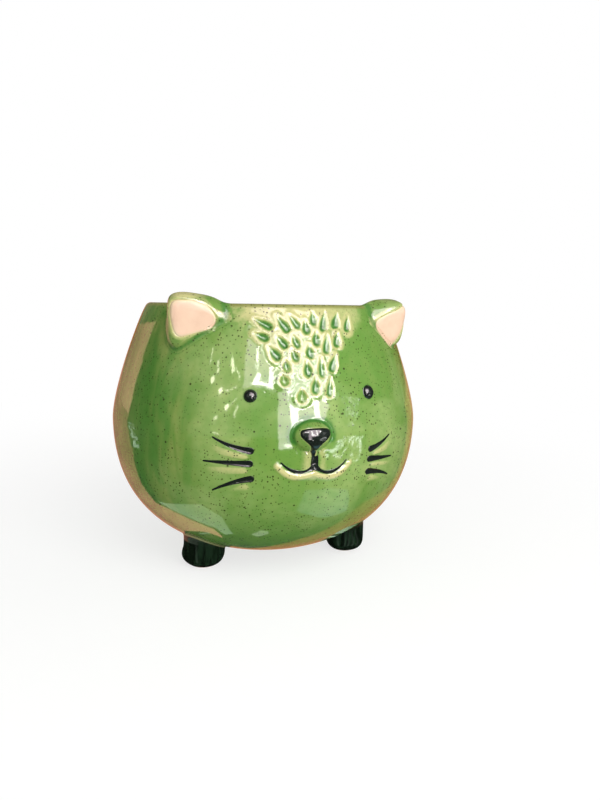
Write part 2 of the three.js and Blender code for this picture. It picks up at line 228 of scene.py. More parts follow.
def bezier(points, count):
    a, b, c, d = (np.array(point, float) for point in points)
    t = np.linspace(0, 1, count)[:, None]
    return (1 - t) ** 3 * a + 3 * (1 - t) ** 2 * t * b + 3 * (1 - t) * t ** 2 * c + t ** 3 * d


def lip_arc(first, last, count):
    turn = np.linspace(first, last, count)
    return np.stack([LIP_REACH + LIP_ROUND * np.cos(turn), LIP_HEIGHT + LIP_ROUND * np.sin(turn)], -1)


def outer_line():
    """Radius and height of the outer wall, from the edge of the base up to the lip."""
    edge = lip_arc(LIP_LEAN, LIP_LEAN, 1)[0]
    lower = bezier([
        (BASE_RADIUS, BASE_CLEARANCE),
        (BASE_RADIUS + BASE_LEAD * math.cos(BASE_RISE), BASE_CLEARANCE + BASE_LEAD * math.sin(BASE_RISE)),
        (POT_RADIUS, BELLY_HEIGHT - BELLY_LEAD_DOWN),
        (POT_RADIUS, BELLY_HEIGHT),
    ], 300)
    upper = bezier([
        (POT_RADIUS, BELLY_HEIGHT),
        (POT_RADIUS, BELLY_HEIGHT + BELLY_LEAD_UP),
        (edge[0] + LIP_LEAD * math.sin(LIP_LEAN), edge[1] - LIP_LEAD * math.cos(LIP_LEAN)),
        edge,
    ], 300)
    return np.concatenate([lower, upper[1:]])


OUTER = outer_line()
OUTER_RISE = np.gradient(OUTER, axis=0)
OUTER_NORMAL = np.stack([OUTER_RISE[:, 1], -OUTER_RISE[:, 0]], -1)
OUTER_NORMAL /= np.linalg.norm(OUTER_NORMAL, axis=1)[:, None]


def wall_radius(height):
    return np.interp(height, OUTER[:, 1], OUTER[:, 0])


def wall_normal(height):
    """How much the wall's outward direction points out and up, at a height."""
    return (np.interp(height, OUTER[:, 1], OUTER_NORMAL[:, 0]),
            np.interp(height, OUTER[:, 1], OUTER_NORMAL[:, 1]))


def smooth(value, low, high):
    share = np.clip((value - low) / (high - low), 0, 1)
    return share * share * (3 - 2 * share)


def hand_wobble(azimuth, height):
    """How far the hand-made wall lies inside the true turned one."""
    lobes = LOBE_DEPTH * (1 + np.sin(2 * azimuth + 0.7) * np.sin(height / 19 + 1))
    ripples = RIPPLE_DEPTH * (1 + np.sin(5 * azimuth + 2) * np.sin(height / 11 + 0.4))
    return (lobes + ripples) * smooth(height, 8, 24) * smooth(height, 112, 100)


def on_wall(azimuth, height, lift=0.0):
    """A point on the wall. Azimuth 0 is the middle of the face, and grows to the right."""
    out, up = wall_normal(height)
    radius = wall_radius(height) - hand_wobble(azimuth, height) + lift * out
    return np.stack([radius * np.sin(azimuth), POT_AXIS - radius * np.cos(azimuth),
                     height + lift * up + 0 * azimuth], -1)


def wall_gap(points):
    """Height of points over the glaze of the pot, lip included."""
    x, y, height = points[:, 0], points[:, 1] - POT_AXIS, points[:, 2]
    radius = np.hypot(x, y)
    held = np.clip(height, BASE_CLEARANCE, OUTER[-1, 1])
    wall = (radius - wall_radius(held)) * wall_normal(held)[0] + hand_wobble(np.arctan2(x, -y), held)
    out, up = radius - LIP_REACH, height - LIP_HEIGHT
    over_lip = (up > 0) & (np.arctan2(up, out) > LIP_LEAN)
    return np.where(over_lip, np.hypot(out, up) - LIP_ROUND, wall)


def round_cut(a, b, size):
    """Where both fields are inside, with the edge between them rounded off."""
    share = np.maximum(size - np.abs(a - b), 0) / size
    return np.maximum(a, b) + share ** 2 * size / 4


def luted(piece, body, size):
    """Two fields joined, with clay smoothed into the corner between them."""
    share = np.maximum(size - np.abs(piece - body), 0) / size
    return np.minimum(piece, body) - share ** 3 * size / 6


def convex_gap(x, y, corners, size):
    """Field of a convex outline with rounded corners, listed clockwise or not."""
    corners = np.array(corners, float)
    ahead = np.roll(corners, -1, 0)
    turn = np.sign(np.sum(corners[:, 0] * ahead[:, 1] - ahead[:, 0] * corners[:, 1]))
    field = None
    for (x0, y0), (x1, y1) in zip(corners, ahead):
        length = math.hypot(x1 - x0, y1 - y0)
        side = ((x - x0) * (y1 - y0) - (y - y0) * (x1 - x0)) / length * turn
        field = side if field is None else round_cut(field, side, size)
    return field


def outline_gap(x, y, corners):
    """Exact field of any outline, negative inside."""
    nearest = np.full(x.shape, 1e9)
    inside = np.zeros(x.shape, bool)
    for (x0, y0), (x1, y1) in zip(corners, corners[1:] + corners[:1]):
        ex, ey = x1 - x0, y1 - y0
        share = np.clip(((x - x0) * ex + (y - y0) * ey) / (ex * ex + ey * ey), 0, 1)
        nearest = np.minimum(nearest, np.hypot(x - x0 - share * ex, y - y0 - share * ey))
        crosses = (y0 > y) != (y1 > y)
        inside ^= crosses & (x < x0 + (y - y0) * ex / (ey if ey else 1e-9))
    return np.where(inside, -nearest, nearest)


def local_frame(origin, turn, tilt):
    """Rows that take a point to right, up and out of a place on the wall."""
    right = np.array([math.cos(turn), math.sin(turn), 0])
    out = np.array([math.sin(turn) * math.cos(tilt), -math.cos(turn) * math.cos(tilt), math.sin(tilt)])
    up = np.cross(out, right)
    return np.array(origin), np.stack([right, up, out])


def wall_frame(azimuth, height):
    out, up = wall_normal(height)
    return local_frame(on_wall(azimuth, height), azimuth, math.atan2(up, out))


def in_frame(points, place):
    origin, rows = place
    return ((points - origin) @ rows.T).T


def ear_frame(side):
    height = RIM_HEIGHT - EAR_DROP
    radius = float(wall_radius(height)) + EAR_STAND_OFF
    azimuth = side * EAR_AZIMUTH
    origin = (radius * math.sin(azimuth), POT_AXIS - radius * math.cos(azimuth), height)
    return local_frame(origin, side * EAR_YAW, -EAR_LEAN)


def in_ear(points, shape):
    """Points as seen from the ear: outwards from the face, up, and forwards."""
    x, y, z = in_frame(points, ear_frame(shape["side"]))
    return x * shape["side"], y, z


def ear_fold(points, shape):
    """Height over the sloped band between the ear's front and its crest."""
    first, second, third = (np.array(corner) for corner in shape["fold"])
    normal = np.cross(third - first, second - first)
    normal *= np.sign(normal[1]) / np.linalg.norm(normal)
    return (np.stack(in_ear(points, shape), -1) - first) @ normal


def underside_gap(points, shape):
    """Room cut away below the ear's front, so that a crease runs under it to the pot."""
    x, y, z = in_ear(points, shape)
    inner, bend, outer = (np.array(corner) for corner in shape["underside"])
    below, beside = bend - inner, outer - bend
    below, beside = (np.array([-line[1], line[0]]) / np.linalg.norm(line) for line in (below, beside))
    under = 0.8 * ((x - bend[0]) * below[0] + (y - bend[1]) * below[1]) - 0.6 * (z - EAR_FRONT)
    return round_cut(under, (x - bend[0]) * beside[0] + (y - bend[1]) * beside[1], 3.0)


def ear_slab(points, shape):
    """The ear before its pocket is pressed in."""
    x, y, z = in_ear(points, shape)
    rise, outer = shape["rise"], shape["outer"]
    top, bottom = rise + EAR_OVER, -EAR_FALL - EAR_UNDER
    back = EAR_FRONT - EAR_TOP_THICKNESS - EAR_OVER
    root = EAR_FRONT - EAR_ROOT_THICKNESS
    front_view = convex_gap(x, y, [
        (outer, -EAR_FALL), (outer, rise), (-EAR_SHOULDER_REACH, rise - EAR_SHOULDER_DROP),
        (-EAR_INNER_REACH, EAR_INNER_RISE), (-EAR_INNER_REACH, -EAR_FALL / 2), (0, -EAR_FALL),
    ], EAR_ROUND["front view"])
    side_view = convex_gap(z, y, [
        (EAR_FRONT, bottom), (EAR_FRONT, top), (back, top), (root, EAR_ROOT_RISE), (root, bottom),
    ], EAR_ROUND["side view"])
    slab = round_cut(front_view, side_view, EAR_ROUND["edges"])
    slab = round_cut(slab, ear_fold(points, shape), EAR_ROUND["fold"])
    slab = round_cut(slab, -underside_gap(points, shape), EAR_ROUND["underside"])
    radius = np.hypot(points[:, 0], points[:, 1] - POT_AXIS)
    return round_cut(slab, LIP_REACH - 1.0 - radius, EAR_ROUND["inside"])


def lining_outline(x, y, shape):
    return convex_gap(x, y, shape["lining"], LINING_ROUND)


def ear_gap(points, shape):
    x, y, z = in_ear(points, shape)
    slab = ear_slab(points, shape)
    pocket = round_cut(lining_outline(x, y, shape), -(slab + POCKET_DEPTH), 0.8)
    pocket = np.maximum(pocket, EAR_FRONT - LINING_BACK - z)
    return round_cut(slab, -pocket, 1.2)


def lining_edge(points, shape):
    """Distance from the edge of the ear's bare clay, on its front."""
    x, y, z = in_ear(points, shape)
    return lining_outline(x, y, shape) + 3 * np.maximum(EAR_FRONT - 2.5 - z, 0)


def worn_top(points, shape):
    """Share of the glaze that has run off the ear's top edge."""
    y = in_ear(points, shape)[1]
    return shape["worn"] * smooth(y, shape["rise"] - 3.8, shape["rise"] - 1.4)


def fold_edge(points, shape):
    """Distance from the line where the ear's front turns into its sloped band."""
    x, _, z = in_ear(points, shape)
    from_front = np.abs(z - EAR_FRONT + 0.25)
    from_band = np.abs(ear_fold(points, shape) + 0.25)
    return np.maximum(from_front, from_band) + 0.5 * np.maximum(x + 1, 0)


def lining_gap(points, shape):
    """The clay in the pocket, a thin plate with a shallow dish in it."""
    x, y, z = in_ear(points, shape)
    slab = ear_slab(points, shape)
    dish = 0.12 * (1 - np.clip((x * x + (y + 1) ** 2) / 90, 0, 1))
    plate = round_cut(lining_outline(x, y, shape) - 0.25, slab + LINING_DEPTH + dish, 0.5)
    plate = np.maximum(plate, -(slab + POCKET_DEPTH + 0.6))
    return np.maximum(plate, EAR_FRONT - (LINING_BACK + 0.3) - z)


def dome_gap(points, place, size):
    scaled = in_frame(points, place) / np.array(size)[:, None]
    reach = np.linalg.norm(scaled, axis=0) + 1e-9
    steep = np.linalg.norm(scaled / np.array(size)[:, None], axis=0) + 1e-9
    return reach * (reach - 1) / steep


def boss_gap(points):
    return dome_gap(points, wall_frame(NOSE_AZIMUTH, NOSE_HEIGHT), BOSS_SIZE)


def boss_crease(points):
    """Distance from the boss for its ring of pooled glaze and painted shade, which is left out below it."""
    y = in_frame(points, wall_frame(NOSE_AZIMUTH, NOSE_HEIGHT))[1]
    return 0.6 * np.maximum(boss_gap(points), 0) + 1.7 * smooth(-y, 2.0, 5.5)


def eye_gap(points, side):
    radius = EYE_RADII[side]
    return dome_gap(points, wall_frame(EYE_AZIMUTHS[side], EYE_HEIGHT), (radius, radius, EYE_RISE))


def foot_gap(points, azimuth):
    """A stub with a round bottom, a little out of round, that bulges to one side like a toe."""
    x = points[:, 0] - FOOT_CIRCLE * math.sin(azimuth)
    y = points[:, 1] - POT_AXIS + FOOT_CIRCLE * math.cos(azimuth)
    z = points[:, 2]
    reach = np.hypot(x, y) + 0.25 * np.sin(2 * np.arctan2(y, x) + 3 * azimuth) + 0.12
    stub = round_cut(reach - FOOT_RADIUS, -z, FOOT_ROUND)
    turn = azimuth - TOE_TURN
    toe_x, toe_y = TOE_REACH * math.sin(turn), -TOE_REACH * math.cos(turn)
    toe = np.sqrt((x - toe_x) ** 2 + (y - toe_y) ** 2 + (z - TOE_HEIGHT) ** 2) - TOE_RADIUS
    return luted(toe, stub, TOE_FILLET)


def fitted(gap, fillet):
    """A piece luted to the pot, down to a skirt that dips just under the pot's glaze."""
    def field(points):
        own = gap(points)
        wall = wall_gap(points)
        joined = luted(own, wall + SKIRT_DIP, fillet)
        return np.maximum(np.maximum(joined, -(wall + SKIRT_DEPTH)), own - fillet - 0.3)
    return field


# Meshes from fields

def skin(field, low, high, step):
    """Points and four-sided faces of the surface on which a field is zero."""
    axes = [np.arange(a, b + step, step) for a, b in zip(low, high)]
    grid = np.stack(np.meshgrid(*axes, indexing="ij"), -1)
    values = field(grid.reshape(-1, 3)).reshape(grid.shape[:3])
    cells = tuple(n - 1 for n in values.shape)
    total = np.zeros(cells + (3,))
    count = np.zeros(cells)
    crossings = []
    for axis in range(3):
        near = [slice(None)] * 3
        far = [slice(None)] * 3
        near[axis], far[axis] = slice(0, -1), slice(1, None)
        v0, v1 = values[tuple(near)], values[tuple(far)]
        crossed = (v0 < 0) != (v1 < 0)
        share = np.where(crossed, v0 / np.where(crossed, v0 - v1, 1), 0)
        place = grid[tuple(near)].copy()
        place[..., axis] += share * step
        place *= crossed[..., None]
        others = [a for a in range(3) if a != axis]
        for shift_a in (0, 1):
            for shift_b in (0, 1):
                part = [slice(None)] * 3
                for other, shift in zip(others, (shift_a, shift_b)):
                    part[other] = slice(shift, values.shape[other] - 1 + shift)
                total += place[tuple(part)]
                count += crossed[tuple(part)]
        inner = [slice(None)] * 3
        for other in others:
            inner[other] = slice(1, -1)
        at = np.argwhere(crossed[tuple(inner)])
        for other in others:
            at[:, other] += 1
        crossings.append((axis, others, at, v0[tuple(at.T)] < 0))
    active = count > 0
    index = np.full(cells, -1)
    index[active] = np.arange(active.sum())
    points = total[active] / count[active][:, None]
    faces = []
    for axis, (a, b), at, rising in crossings:
        corners = []
        for da, db in ((-1, -1), (0, -1), (0, 0), (-1, 0)):
            corner = at.copy()
            corner[:, a] += da
            corner[:, b] += db
            corners.append(index[tuple(corner.T)])
        quad = np.stack(corners, -1)
        flip = rising if axis == 1 else ~rising
        quad[flip] = quad[flip][:, ::-1]
        faces.append(quad)
    for _ in range(3):
        value = field(points)
        slope = gradient(field, points, 0.04)
        move = value[:, None] * slope / np.maximum(np.sum(slope ** 2, -1), 0.2)[:, None]
        points -= np.clip(move, -step / 2, step / 2)
    return points, np.concatenate(faces)


def gradient(field, points, reach):
    return np.stack([field(points + reach * axis) - field(points - reach * axis)
                     for axis in np.eye(3)], -1) / (2 * reach)


def ridge_of(field, points, reach):
    """How sharply a field's surface bends outwards at points, per millimetre."""
    total = sum(field(points + reach * axis) + field(points - reach * axis) for axis in np.eye(3))
    return (total - 6 * field(points)) / reach ** 2


def new_object(name, mesh):
    made = bpy.data.objects.new(name, mesh)
    bpy.context.scene.collection.objects.link(made)
    return made


def new_piece(name, points, faces, slot, node, finish, **attributes):
    """A smooth mesh from points in millimetres, which stands for a node of the model."""
    mesh = bpy.data.meshes.new(name)
    mesh.from_pydata((points * TO_METRES).tolist(), [], faces.tolist())
    for key, values in attributes.items():
        set_attribute(mesh, key, values)
    mesh.shade_smooth()
    mesh.materials.append(finish)
    return dress(new_object(name, mesh), node)


def dress(made, node):
    """Hangs a finished piece under the root body, and hides the node of the model that it stands for."""
    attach(made, "root")
    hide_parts(node)
    return made


def set_attribute(mesh, key, values):
    stored = mesh.attributes.get(key) or mesh.attributes.new(key, "FLOAT", "POINT")
    stored.data.foreach_set("value", np.asarray(values, np.float32))


def points_of(mesh):
    flat = np.zeros(len(mesh.vertices) * 3)
    mesh.vertices.foreach_get("co", flat)
    return flat.reshape(-1, 3) / TO_METRES


# Node trees

class Tree:
    """A node tree that is written node by node."""

    def __init__(self, tree):
        self.tree = tree

    def add(self, kind, inputs=None, out=0, **settings):
        node = self.tree.nodes.new(kind)
        for key, value in settings.items():
            setattr(node, key, value)
        for key, value in (inputs or {}).items():
            self.feed(node.inputs[key], value)
        return node.outputs[out] if len(node.outputs) else node

    def feed(self, socket, value):
        if isinstance(value, bpy.types.NodeSocket):
            self.tree.links.new(value, socket)
        else:
            socket.default_value = value

    def maths(self, operation, *values, clamp=False):
        return self.add("ShaderNodeMath", dict(enumerate(values)), operation=operation, use_clamp=clamp)

    def plus(self, a, b, clamp=False):
        return self.maths("ADD", a, b, clamp=clamp)

    def minus(self, a, b):
        return self.maths("SUBTRACT", a, b)

    def over(self, a, b, clamp=False):
        return self.maths("DIVIDE", a, b, clamp=clamp)

    def times(self, first, *others):
        for other in others:
            first = self.maths("MULTIPLY", first, other)
        return first

    def largest(self, first, *others):
        for other in others:
            first = self.maths("MAXIMUM", first, other)
        return first

    def vector(self, operation, *values, scale=None, out=0):
        inputs = dict(enumerate(values))
        if scale is not None:
            inputs["Scale"] = scale
        return self.add("ShaderNodeVectorMath", inputs, out, operation=operation)

    def split(self, vector):
        """The X, Y and Z outputs of a vector."""
        return self.add("ShaderNodeSeparateXYZ", {0: vector}).node.outputs

    def join(self, x, y, z):
        return self.add("ShaderNodeCombineXYZ", {"X": x, "Y": y, "Z": z})

    def ramp(self, value, low, high, to_low=0.0, to_high=1.0, interpolation="SMOOTHSTEP"):
        return self.add("ShaderNodeMapRange", {0: value, 1: low, 2: high, 3: to_low, 4: to_high},
                        interpolation_type=interpolation)

    def mix(self, share, a, b):
        return self.add("ShaderNodeMix", {0: share, 6: a, 7: b}, 2, data_type="RGBA")

    def noise(self, vector, scale, detail=2.0, rough=0.5, distortion=0.0):
        return self.add("ShaderNodeTexNoise", {
            "Vector": vector, "Scale": scale, "Detail": detail, "Roughness": rough, "Distortion": distortion})


def new_group(name, kind, inputs, outputs):
    """An empty group with named sockets, its tree, its input sockets and its output node."""
    group = bpy.data.node_groups.new(name, kind)
    for label, (socket, default) in inputs.items():
        made = group.interface.new_socket(name=label, in_out="INPUT", socket_type="NodeSocket" + socket)
        if default is not None:
            made.default_value = default
    for label, socket in outputs.items():
        group.interface.new_socket(name=label, in_out="OUTPUT", socket_type="NodeSocket" + socket)
    entry = group.nodes.new("NodeGroupInput")
    leave = group.nodes.new("NodeGroupOutput")
    sockets = {label: entry.outputs[label] for label in inputs}
    return group, Tree(group), sockets, leave


def close_geometry(tree, leave, geometry, material):
    """The last nodes of every shape: real geometry, smooth faces and a material."""
    smoothed = tree.add("GeometryNodeSetShadeSmooth", {"Geometry": geometry})
    real = tree.add("GeometryNodeRealizeInstances", {"Geometry": smoothed})
    finished = tree.add("GeometryNodeSetMaterial", {"Geometry": real, "Material": material})
    tree.feed(leave.inputs["Geometry"], finished)


def turned_wall_tree():
    """Turns a line of radii and heights about the pot's axis, with finer columns on the face."""
    group, tree, given, leave = new_group("turned wall", "GeometryNodeTree", {
        "Line": ("Geometry", None), "Face columns": ("Int", 200), "Back columns": ("Int", 80),
        "Face half angle": ("Float", 1.0), "Axis": ("Float", 0.0), "Glaze": ("Material", None),
    }, {"Geometry": "Geometry"})
    rows = tree.add("GeometryNodeAttributeDomainSize", {"Geometry": given["Line"]})
    columns = tree.plus(given["Face columns"], given["Back columns"])
    grid = tree.add("GeometryNodeMeshGrid", {
        "Size X": 1.0, "Size Y": 1.0, "Vertices X": tree.plus(columns, 1.0), "Vertices Y": rows})
    here = tree.add("GeometryNodeInputPosition")
    place = tree.split(here)
    column = tree.times(tree.plus(place["X"], 0.5), columns)
    row = tree.maths("ROUND", tree.times(tree.plus(place["Y"], 0.5), tree.minus(rows, 1.0)))
    point = tree.split(tree.add("GeometryNodeSampleIndex", {
        "Geometry": given["Line"], "Value": here, "Index": row}, data_type="FLOAT_VECTOR", domain="POINT"))
    half = given["Face half angle"]
    on_face = tree.ramp(column, 0.0, given["Face columns"], tree.times(half, -1.0), half, "LINEAR")
    rest_of_turn = tree.minus(2 * math.pi, tree.times(half, 2.0))
    behind = tree.ramp(column, given["Face columns"], columns, 0.0, rest_of_turn, "LINEAR")
    azimuth = tree.plus(on_face, behind)
    across = tree.times(point["X"], tree.maths("SINE", azimuth))
    depth = tree.minus(given["Axis"], tree.times(point["X"], tree.maths("COSINE", azimuth)))
    wall = tree.add("GeometryNodeSetPosition", {
        "Geometry": grid, "Position": tree.join(across, depth, point["Z"])})
    wall = tree.add("GeometryNodeMergeByDistance", {"Geometry": wall, "Distance": SAME_PLACE})
    close_geometry(tree, leave, wall, given["Glaze"])
    return group


def pressed_strokes_tree():
    """Presses strokes into a wall, and raises the clay round or below them into a bank."""
    group, tree, given, leave = new_group("pressed strokes", "GeometryNodeTree", {
        "Wall": ("Geometry", None), "Strokes": ("Object", None), "Depth": ("Float", 1.0),
        "Slope": ("Float", 1.0), "Bank rise": ("Float", 0.3), "Bank start": ("Float", 0.0),
        "Bank width": ("Float", 1.5), "Bank drop": ("Float", 0.0), "Bank spread": ("Float", 0.0),
        "Bank fade": ("Float", 0.0), "All round": ("Float", 0.0), "Edge name": ("String", "edge"),
        "Bank name": ("String", "bank"), "Glaze": ("Material", None),
    }, {"Geometry": "Geometry"})
    strokes = tree.add("GeometryNodeObjectInfo", {"Object": given["Strokes"]}, "Geometry")
    half_width = tree.add("GeometryNodeInputNamedAttribute", {"Name": "half_width"}, data_type="FLOAT")
    here = tree.add("GeometryNodeInputPosition")

    def edge_at(place):
        """Distance from the edge of the nearest stroke, and that stroke's half width there."""
        near = tree.add("GeometryNodeProximity", {"Geometry": strokes, "Sample Position": place},
                        target_element="EDGES").node.outputs
        index = tree.add("GeometryNodeSampleNearest", {
            "Geometry": strokes, "Sample Position": near["Position"]}, domain="POINT")
        half = tree.add("GeometryNodeSampleIndex", {
            "Geometry": strokes, "Value": half_width, "Index": index}, data_type="FLOAT", domain="POINT")
        return tree.minus(tree.over(near["Distance"], TO_METRES), half), half

    reach = SPREAD_REACH * TO_METRES
    aside = tree.ramp(tree.split(here)["X"], -reach, reach, 1.0, -1.0, "LINEAR")
    shift = tree.join(tree.times(aside, given["Bank spread"]), 0.0, given["Bank drop"])
    edge, _ = edge_at(here)
    shifted_edge, half = edge_at(tree.vector("ADD", here, tree.vector("SCALE", shift, scale=TO_METRES)))
    from_bank = tree.minus(shifted_edge, given["Bank start"])
    fall_off = tree.ramp(from_bank, 0.0, given["Bank width"], 1.0, 0.0)
    below = tree.ramp(tree.minus(edge, shifted_edge), 0.0, tree.times(given["Bank drop"], 0.5))
    fade = tree.ramp(half, 0.1, tree.plus(given["Bank fade"], 0.11))
    bank = tree.times(fall_off, tree.largest(below, given["All round"]), fade)
    rise_up = tree.ramp(edge, 0.0, tree.times(given["Bank width"], 0.35))
    hollow = tree.ramp(edge, tree.times(given["Slope"], -1.0), 0.1, 1.0, 0.0)
    wall = given["Wall"]
    for name, value in (("Edge name", edge), ("Bank name", bank)):
        wall = tree.add("GeometryNodeStoreNamedAttribute", {
            "Geometry": wall, "Name": given[name], "Value": value}, data_type="FLOAT", domain="POINT")
    lift = tree.minus(tree.times(bank, rise_up, given["Bank rise"]), tree.times(hollow, given["Depth"]))
    normal = tree.add("GeometryNodeInputNormal")
    wall = tree.add("GeometryNodeSetPosition", {
        "Geometry": wall, "Offset": tree.vector("SCALE", normal, scale=tree.times(lift, TO_METRES))})
    close_geometry(tree, leave, wall, given["Glaze"])
    return group


def brushed_stroke_tree():
    """A bead of glaze along a stroke on a wall, hollow in the middle and round at its ends."""
    group, tree, given, leave = new_group("brushed stroke", "GeometryNodeTree", {
        "Stroke": ("Geometry", None), "Wall": ("Object", None), "Steps along": ("Int", 60),
        "Steps across": ("Int", 12), "End share": ("Float", 0.1), "Edge lift": ("Float", 0.05),
        "Dip": ("Float", 0.4), "Margin": ("Float", 0.1), "Glaze": ("Material", None),
    }, {"Geometry": "Geometry"})
    wall = tree.add("GeometryNodeObjectInfo", {"Object": given["Wall"]}, "Geometry")
    line = tree.add("GeometryNodeMeshToCurve", {"Mesh": given["Stroke"]})
    half_width = tree.add("GeometryNodeInputNamedAttribute", {"Name": "half_width"}, data_type="FLOAT")
    grid = tree.add("GeometryNodeMeshGrid", {
        "Size X": 1.0, "Size Y": 2.0, "Vertices X": given["Steps along"],
        "Vertices Y": given["Steps across"]})
    here = tree.add("GeometryNodeInputPosition")
    normal = tree.add("GeometryNodeInputNormal")
    place = tree.split(here)

    def on_surface(value, at):
        return tree.add("GeometryNodeSampleNearestSurface", {
            "Mesh": wall, "Value": value, "Sample Position": at}, data_type="FLOAT_VECTOR")

    ends = given["End share"]
    reach = tree.plus(1.0, tree.times(ends, 2.0))
    along = tree.minus(tree.times(tree.plus(place["X"], 0.5), reach), ends)
    before = tree.over(tree.times(along, -1.0), ends, clamp=True)
    after = tree.over(tree.minus(along, 1.0), ends, clamp=True)
    past_end = tree.times(tree.largest(before, after), math.pi / 2)
    sample = tree.add("GeometryNodeSampleCurve", {
        "Curves": line, "Value": half_width, "Factor": tree.plus(along, 0.0, clamp=True)},
        mode="FACTOR", data_type="FLOAT", use_all_curves=True).node.outputs
    half = tree.plus(sample["Value"], given["Margin"])
    side = tree.vector("NORMALIZE", tree.vector(
        "CROSS_PRODUCT", on_surface(normal, sample["Position"]), sample["Tangent"]))
    wide = tree.times(place["Y"], tree.maths("COSINE", past_end))
    ahead = tree.times(tree.maths("SINE", past_end), tree.maths("SIGN", tree.minus(along, 0.5)))
    in_metres = tree.times(half, TO_METRES)
    offset = tree.vector("ADD", tree.vector("SCALE", side, scale=tree.times(wide, in_metres)),
                         tree.vector("SCALE", sample["Tangent"], scale=tree.times(ahead, in_metres)))
    spot = tree.vector("ADD", sample["Position"], offset)
    from_middle = tree.plus(tree.times(wide, wide), tree.times(ahead, ahead))
    hollow = tree.ramp(from_middle, 0.0, 1.0, 1.0, 0.0)
    deep = tree.times(given["Dip"], tree.ramp(half, 0.45, 1.1))
    height = tree.minus(given["Edge lift"], tree.times(hollow, deep))
    lifted = tree.vector("SCALE", tree.vector("NORMALIZE", on_surface(normal, spot)),
                         scale=tree.times(height, TO_METRES))
    bead = tree.add("GeometryNodeSetPosition", {
        "Geometry": grid, "Position": tree.vector("ADD", on_surface(here, spot), lifted)})
    bead = tree.add("GeometryNodeMergeByDistance", {"Geometry": bead, "Distance": SAME_PLACE})
    close_geometry(tree, leave, bead, given["Glaze"])
    return group


def grown(name, start, tree, values, thickness=0.0):
    """The plain mesh that a geometry tree makes from a starting mesh."""
    made = new_object(name, start)
    shape = made.modifiers.new("shape", "NODES")
    shape.node_group = tree
    for socket in tree.interface.items_tree:
        if socket.in_out == "INPUT" and socket.name in values:
            shape[socket.identifier] = values[socket.name]
    if thickness:
        solid = made.modifiers.new("thickness", "SOLIDIFY")
        solid.thickness = thickness * TO_METRES
        solid.offset = -1.0
    depsgraph = bpy.context.evaluated_depsgraph_get()
    mesh = bpy.data.meshes.new_from_object(made.evaluated_get(depsgraph))
    made.modifiers.clear()
    made.data = mesh
    face_outwards(mesh)
    return made


def face_outwards(mesh):
    """Turns a closed mesh's faces round if they point inwards."""
    mesh.calc_loop_triangles()
    corners = np.zeros(len(mesh.loop_triangles) * 3, int)
    mesh.loop_triangles.foreach_get("vertices", corners)
    a, b, c = (points_of(mesh)[corners.reshape(-1, 3)[:, k]] for k in range(3))
    if np.sum(a * np.cross(b, c)) < 0:
        mesh.flip_normals()


# Strokes, each a line of points with a half width at each

def stroke_line(azimuths, heights, halves):
    return on_wall(np.array(azimuths), np.array(heights)), np.array(halves)


def strokes_object(name, strokes):
    points = np.concatenate([line for line, _ in strokes])
    edges, start = [], 0
    for line, _ in strokes:
        edges += [(start + k, start + k + 1) for k in range(len(line) - 1)]
        start += len(line)
    mesh = bpy.data.meshes.new(name)
    mesh.from_pydata((points * TO_METRES).tolist(), edges, [])
    set_attribute(mesh, "half_width", np.concatenate([halves for _, halves in strokes]))
    return new_object(name, mesh)


def fur_stroke(pointed, rounded, index):
    share = np.linspace(0, 1, 28)
    swell = 1 + 0.12 * math.sin(2.4 * index)
    halves = (0.15 + 1.6 * smooth(share, -0.1, 0.8)) * swell
    azimuths = np.radians(pointed[0] + (rounded[0] - pointed[0]) * share)
    return stroke_line(azimuths, pointed[1] + (rounded[1] - pointed[1]) * share, halves)


def whisker_stroke(inner, outer, bow):
    share = np.linspace(0, 1, 90)
    azimuths = np.radians(inner[0] + (outer[0] - inner[0]) * share)
    heights = inner[1] + (outer[1] - inner[1]) * share - 4 * bow * share * (1 - share)
    return stroke_line(azimuths, heights, 1.2 - 1.0 * share ** 0.9)


def upright_stroke():
    """The line from the nose pad down to the smile."""
    share = np.linspace(0, 1, 50)
    heights = MOUTH_HEIGHT + UPRIGHT_RISE * (1 - share)
    halves = 1.36 - 0.26 * np.exp(-((share - 0.35) / 0.3) ** 2)
    return stroke_line(MOUTH_AZIMUTH + 0 * share, heights, halves)


def smile_strokes():
    """The two curves of the smile, outwards from the foot of the upright line."""
    share = np.linspace(0, 1, 70)
    strokes = []
    for side, reach, end_rise, dip in SMILE_SIDES:
        across = side * reach * (share * (1 - share) + share ** 2)
        heights = MOUTH_HEIGHT + 2 * share * (1 - share) * -dip + share ** 2 * end_rise
        halves = 0.95 - 0.38 * smooth(share, 0, 0.35) - 0.4 * smooth(share, 0.55, 1)
        strokes.append(stroke_line(MOUTH_AZIMUTH + across / wall_radius(heights), heights, halves))
    return strokes


# Finishes. Every colour is linear red, green and blue, with an alpha of 1.

GREEN_BLOTCHES = (0.150, 0.300, 0.052, 1), (0.312, 0.432, 0.136, 1)
# Painted shade: darker greens for the body's left flank, darkest at its far edge near the top.
FLANK_SHADE_GREEN = (0.095, 0.235, 0.038, 1)
FAR_FLANK_SHADE_GREEN = (0.060, 0.185, 0.026, 1)
PALE_RUN = (0.32, 0.36, 0.10, 1)
DARK_RUN_SHADE = (0.065, 0.20, 0.030, 1)
MOTTLE_GREEN = (0.11, 0.29, 0.045, 1)
# Painted shade: a darker green for the lower wall.
UNDERSIDE_SHADE_GREEN = (0.085, 0.215, 0.040, 1)
THIN_GLAZE = (0.62, 0.58, 0.26, 1)
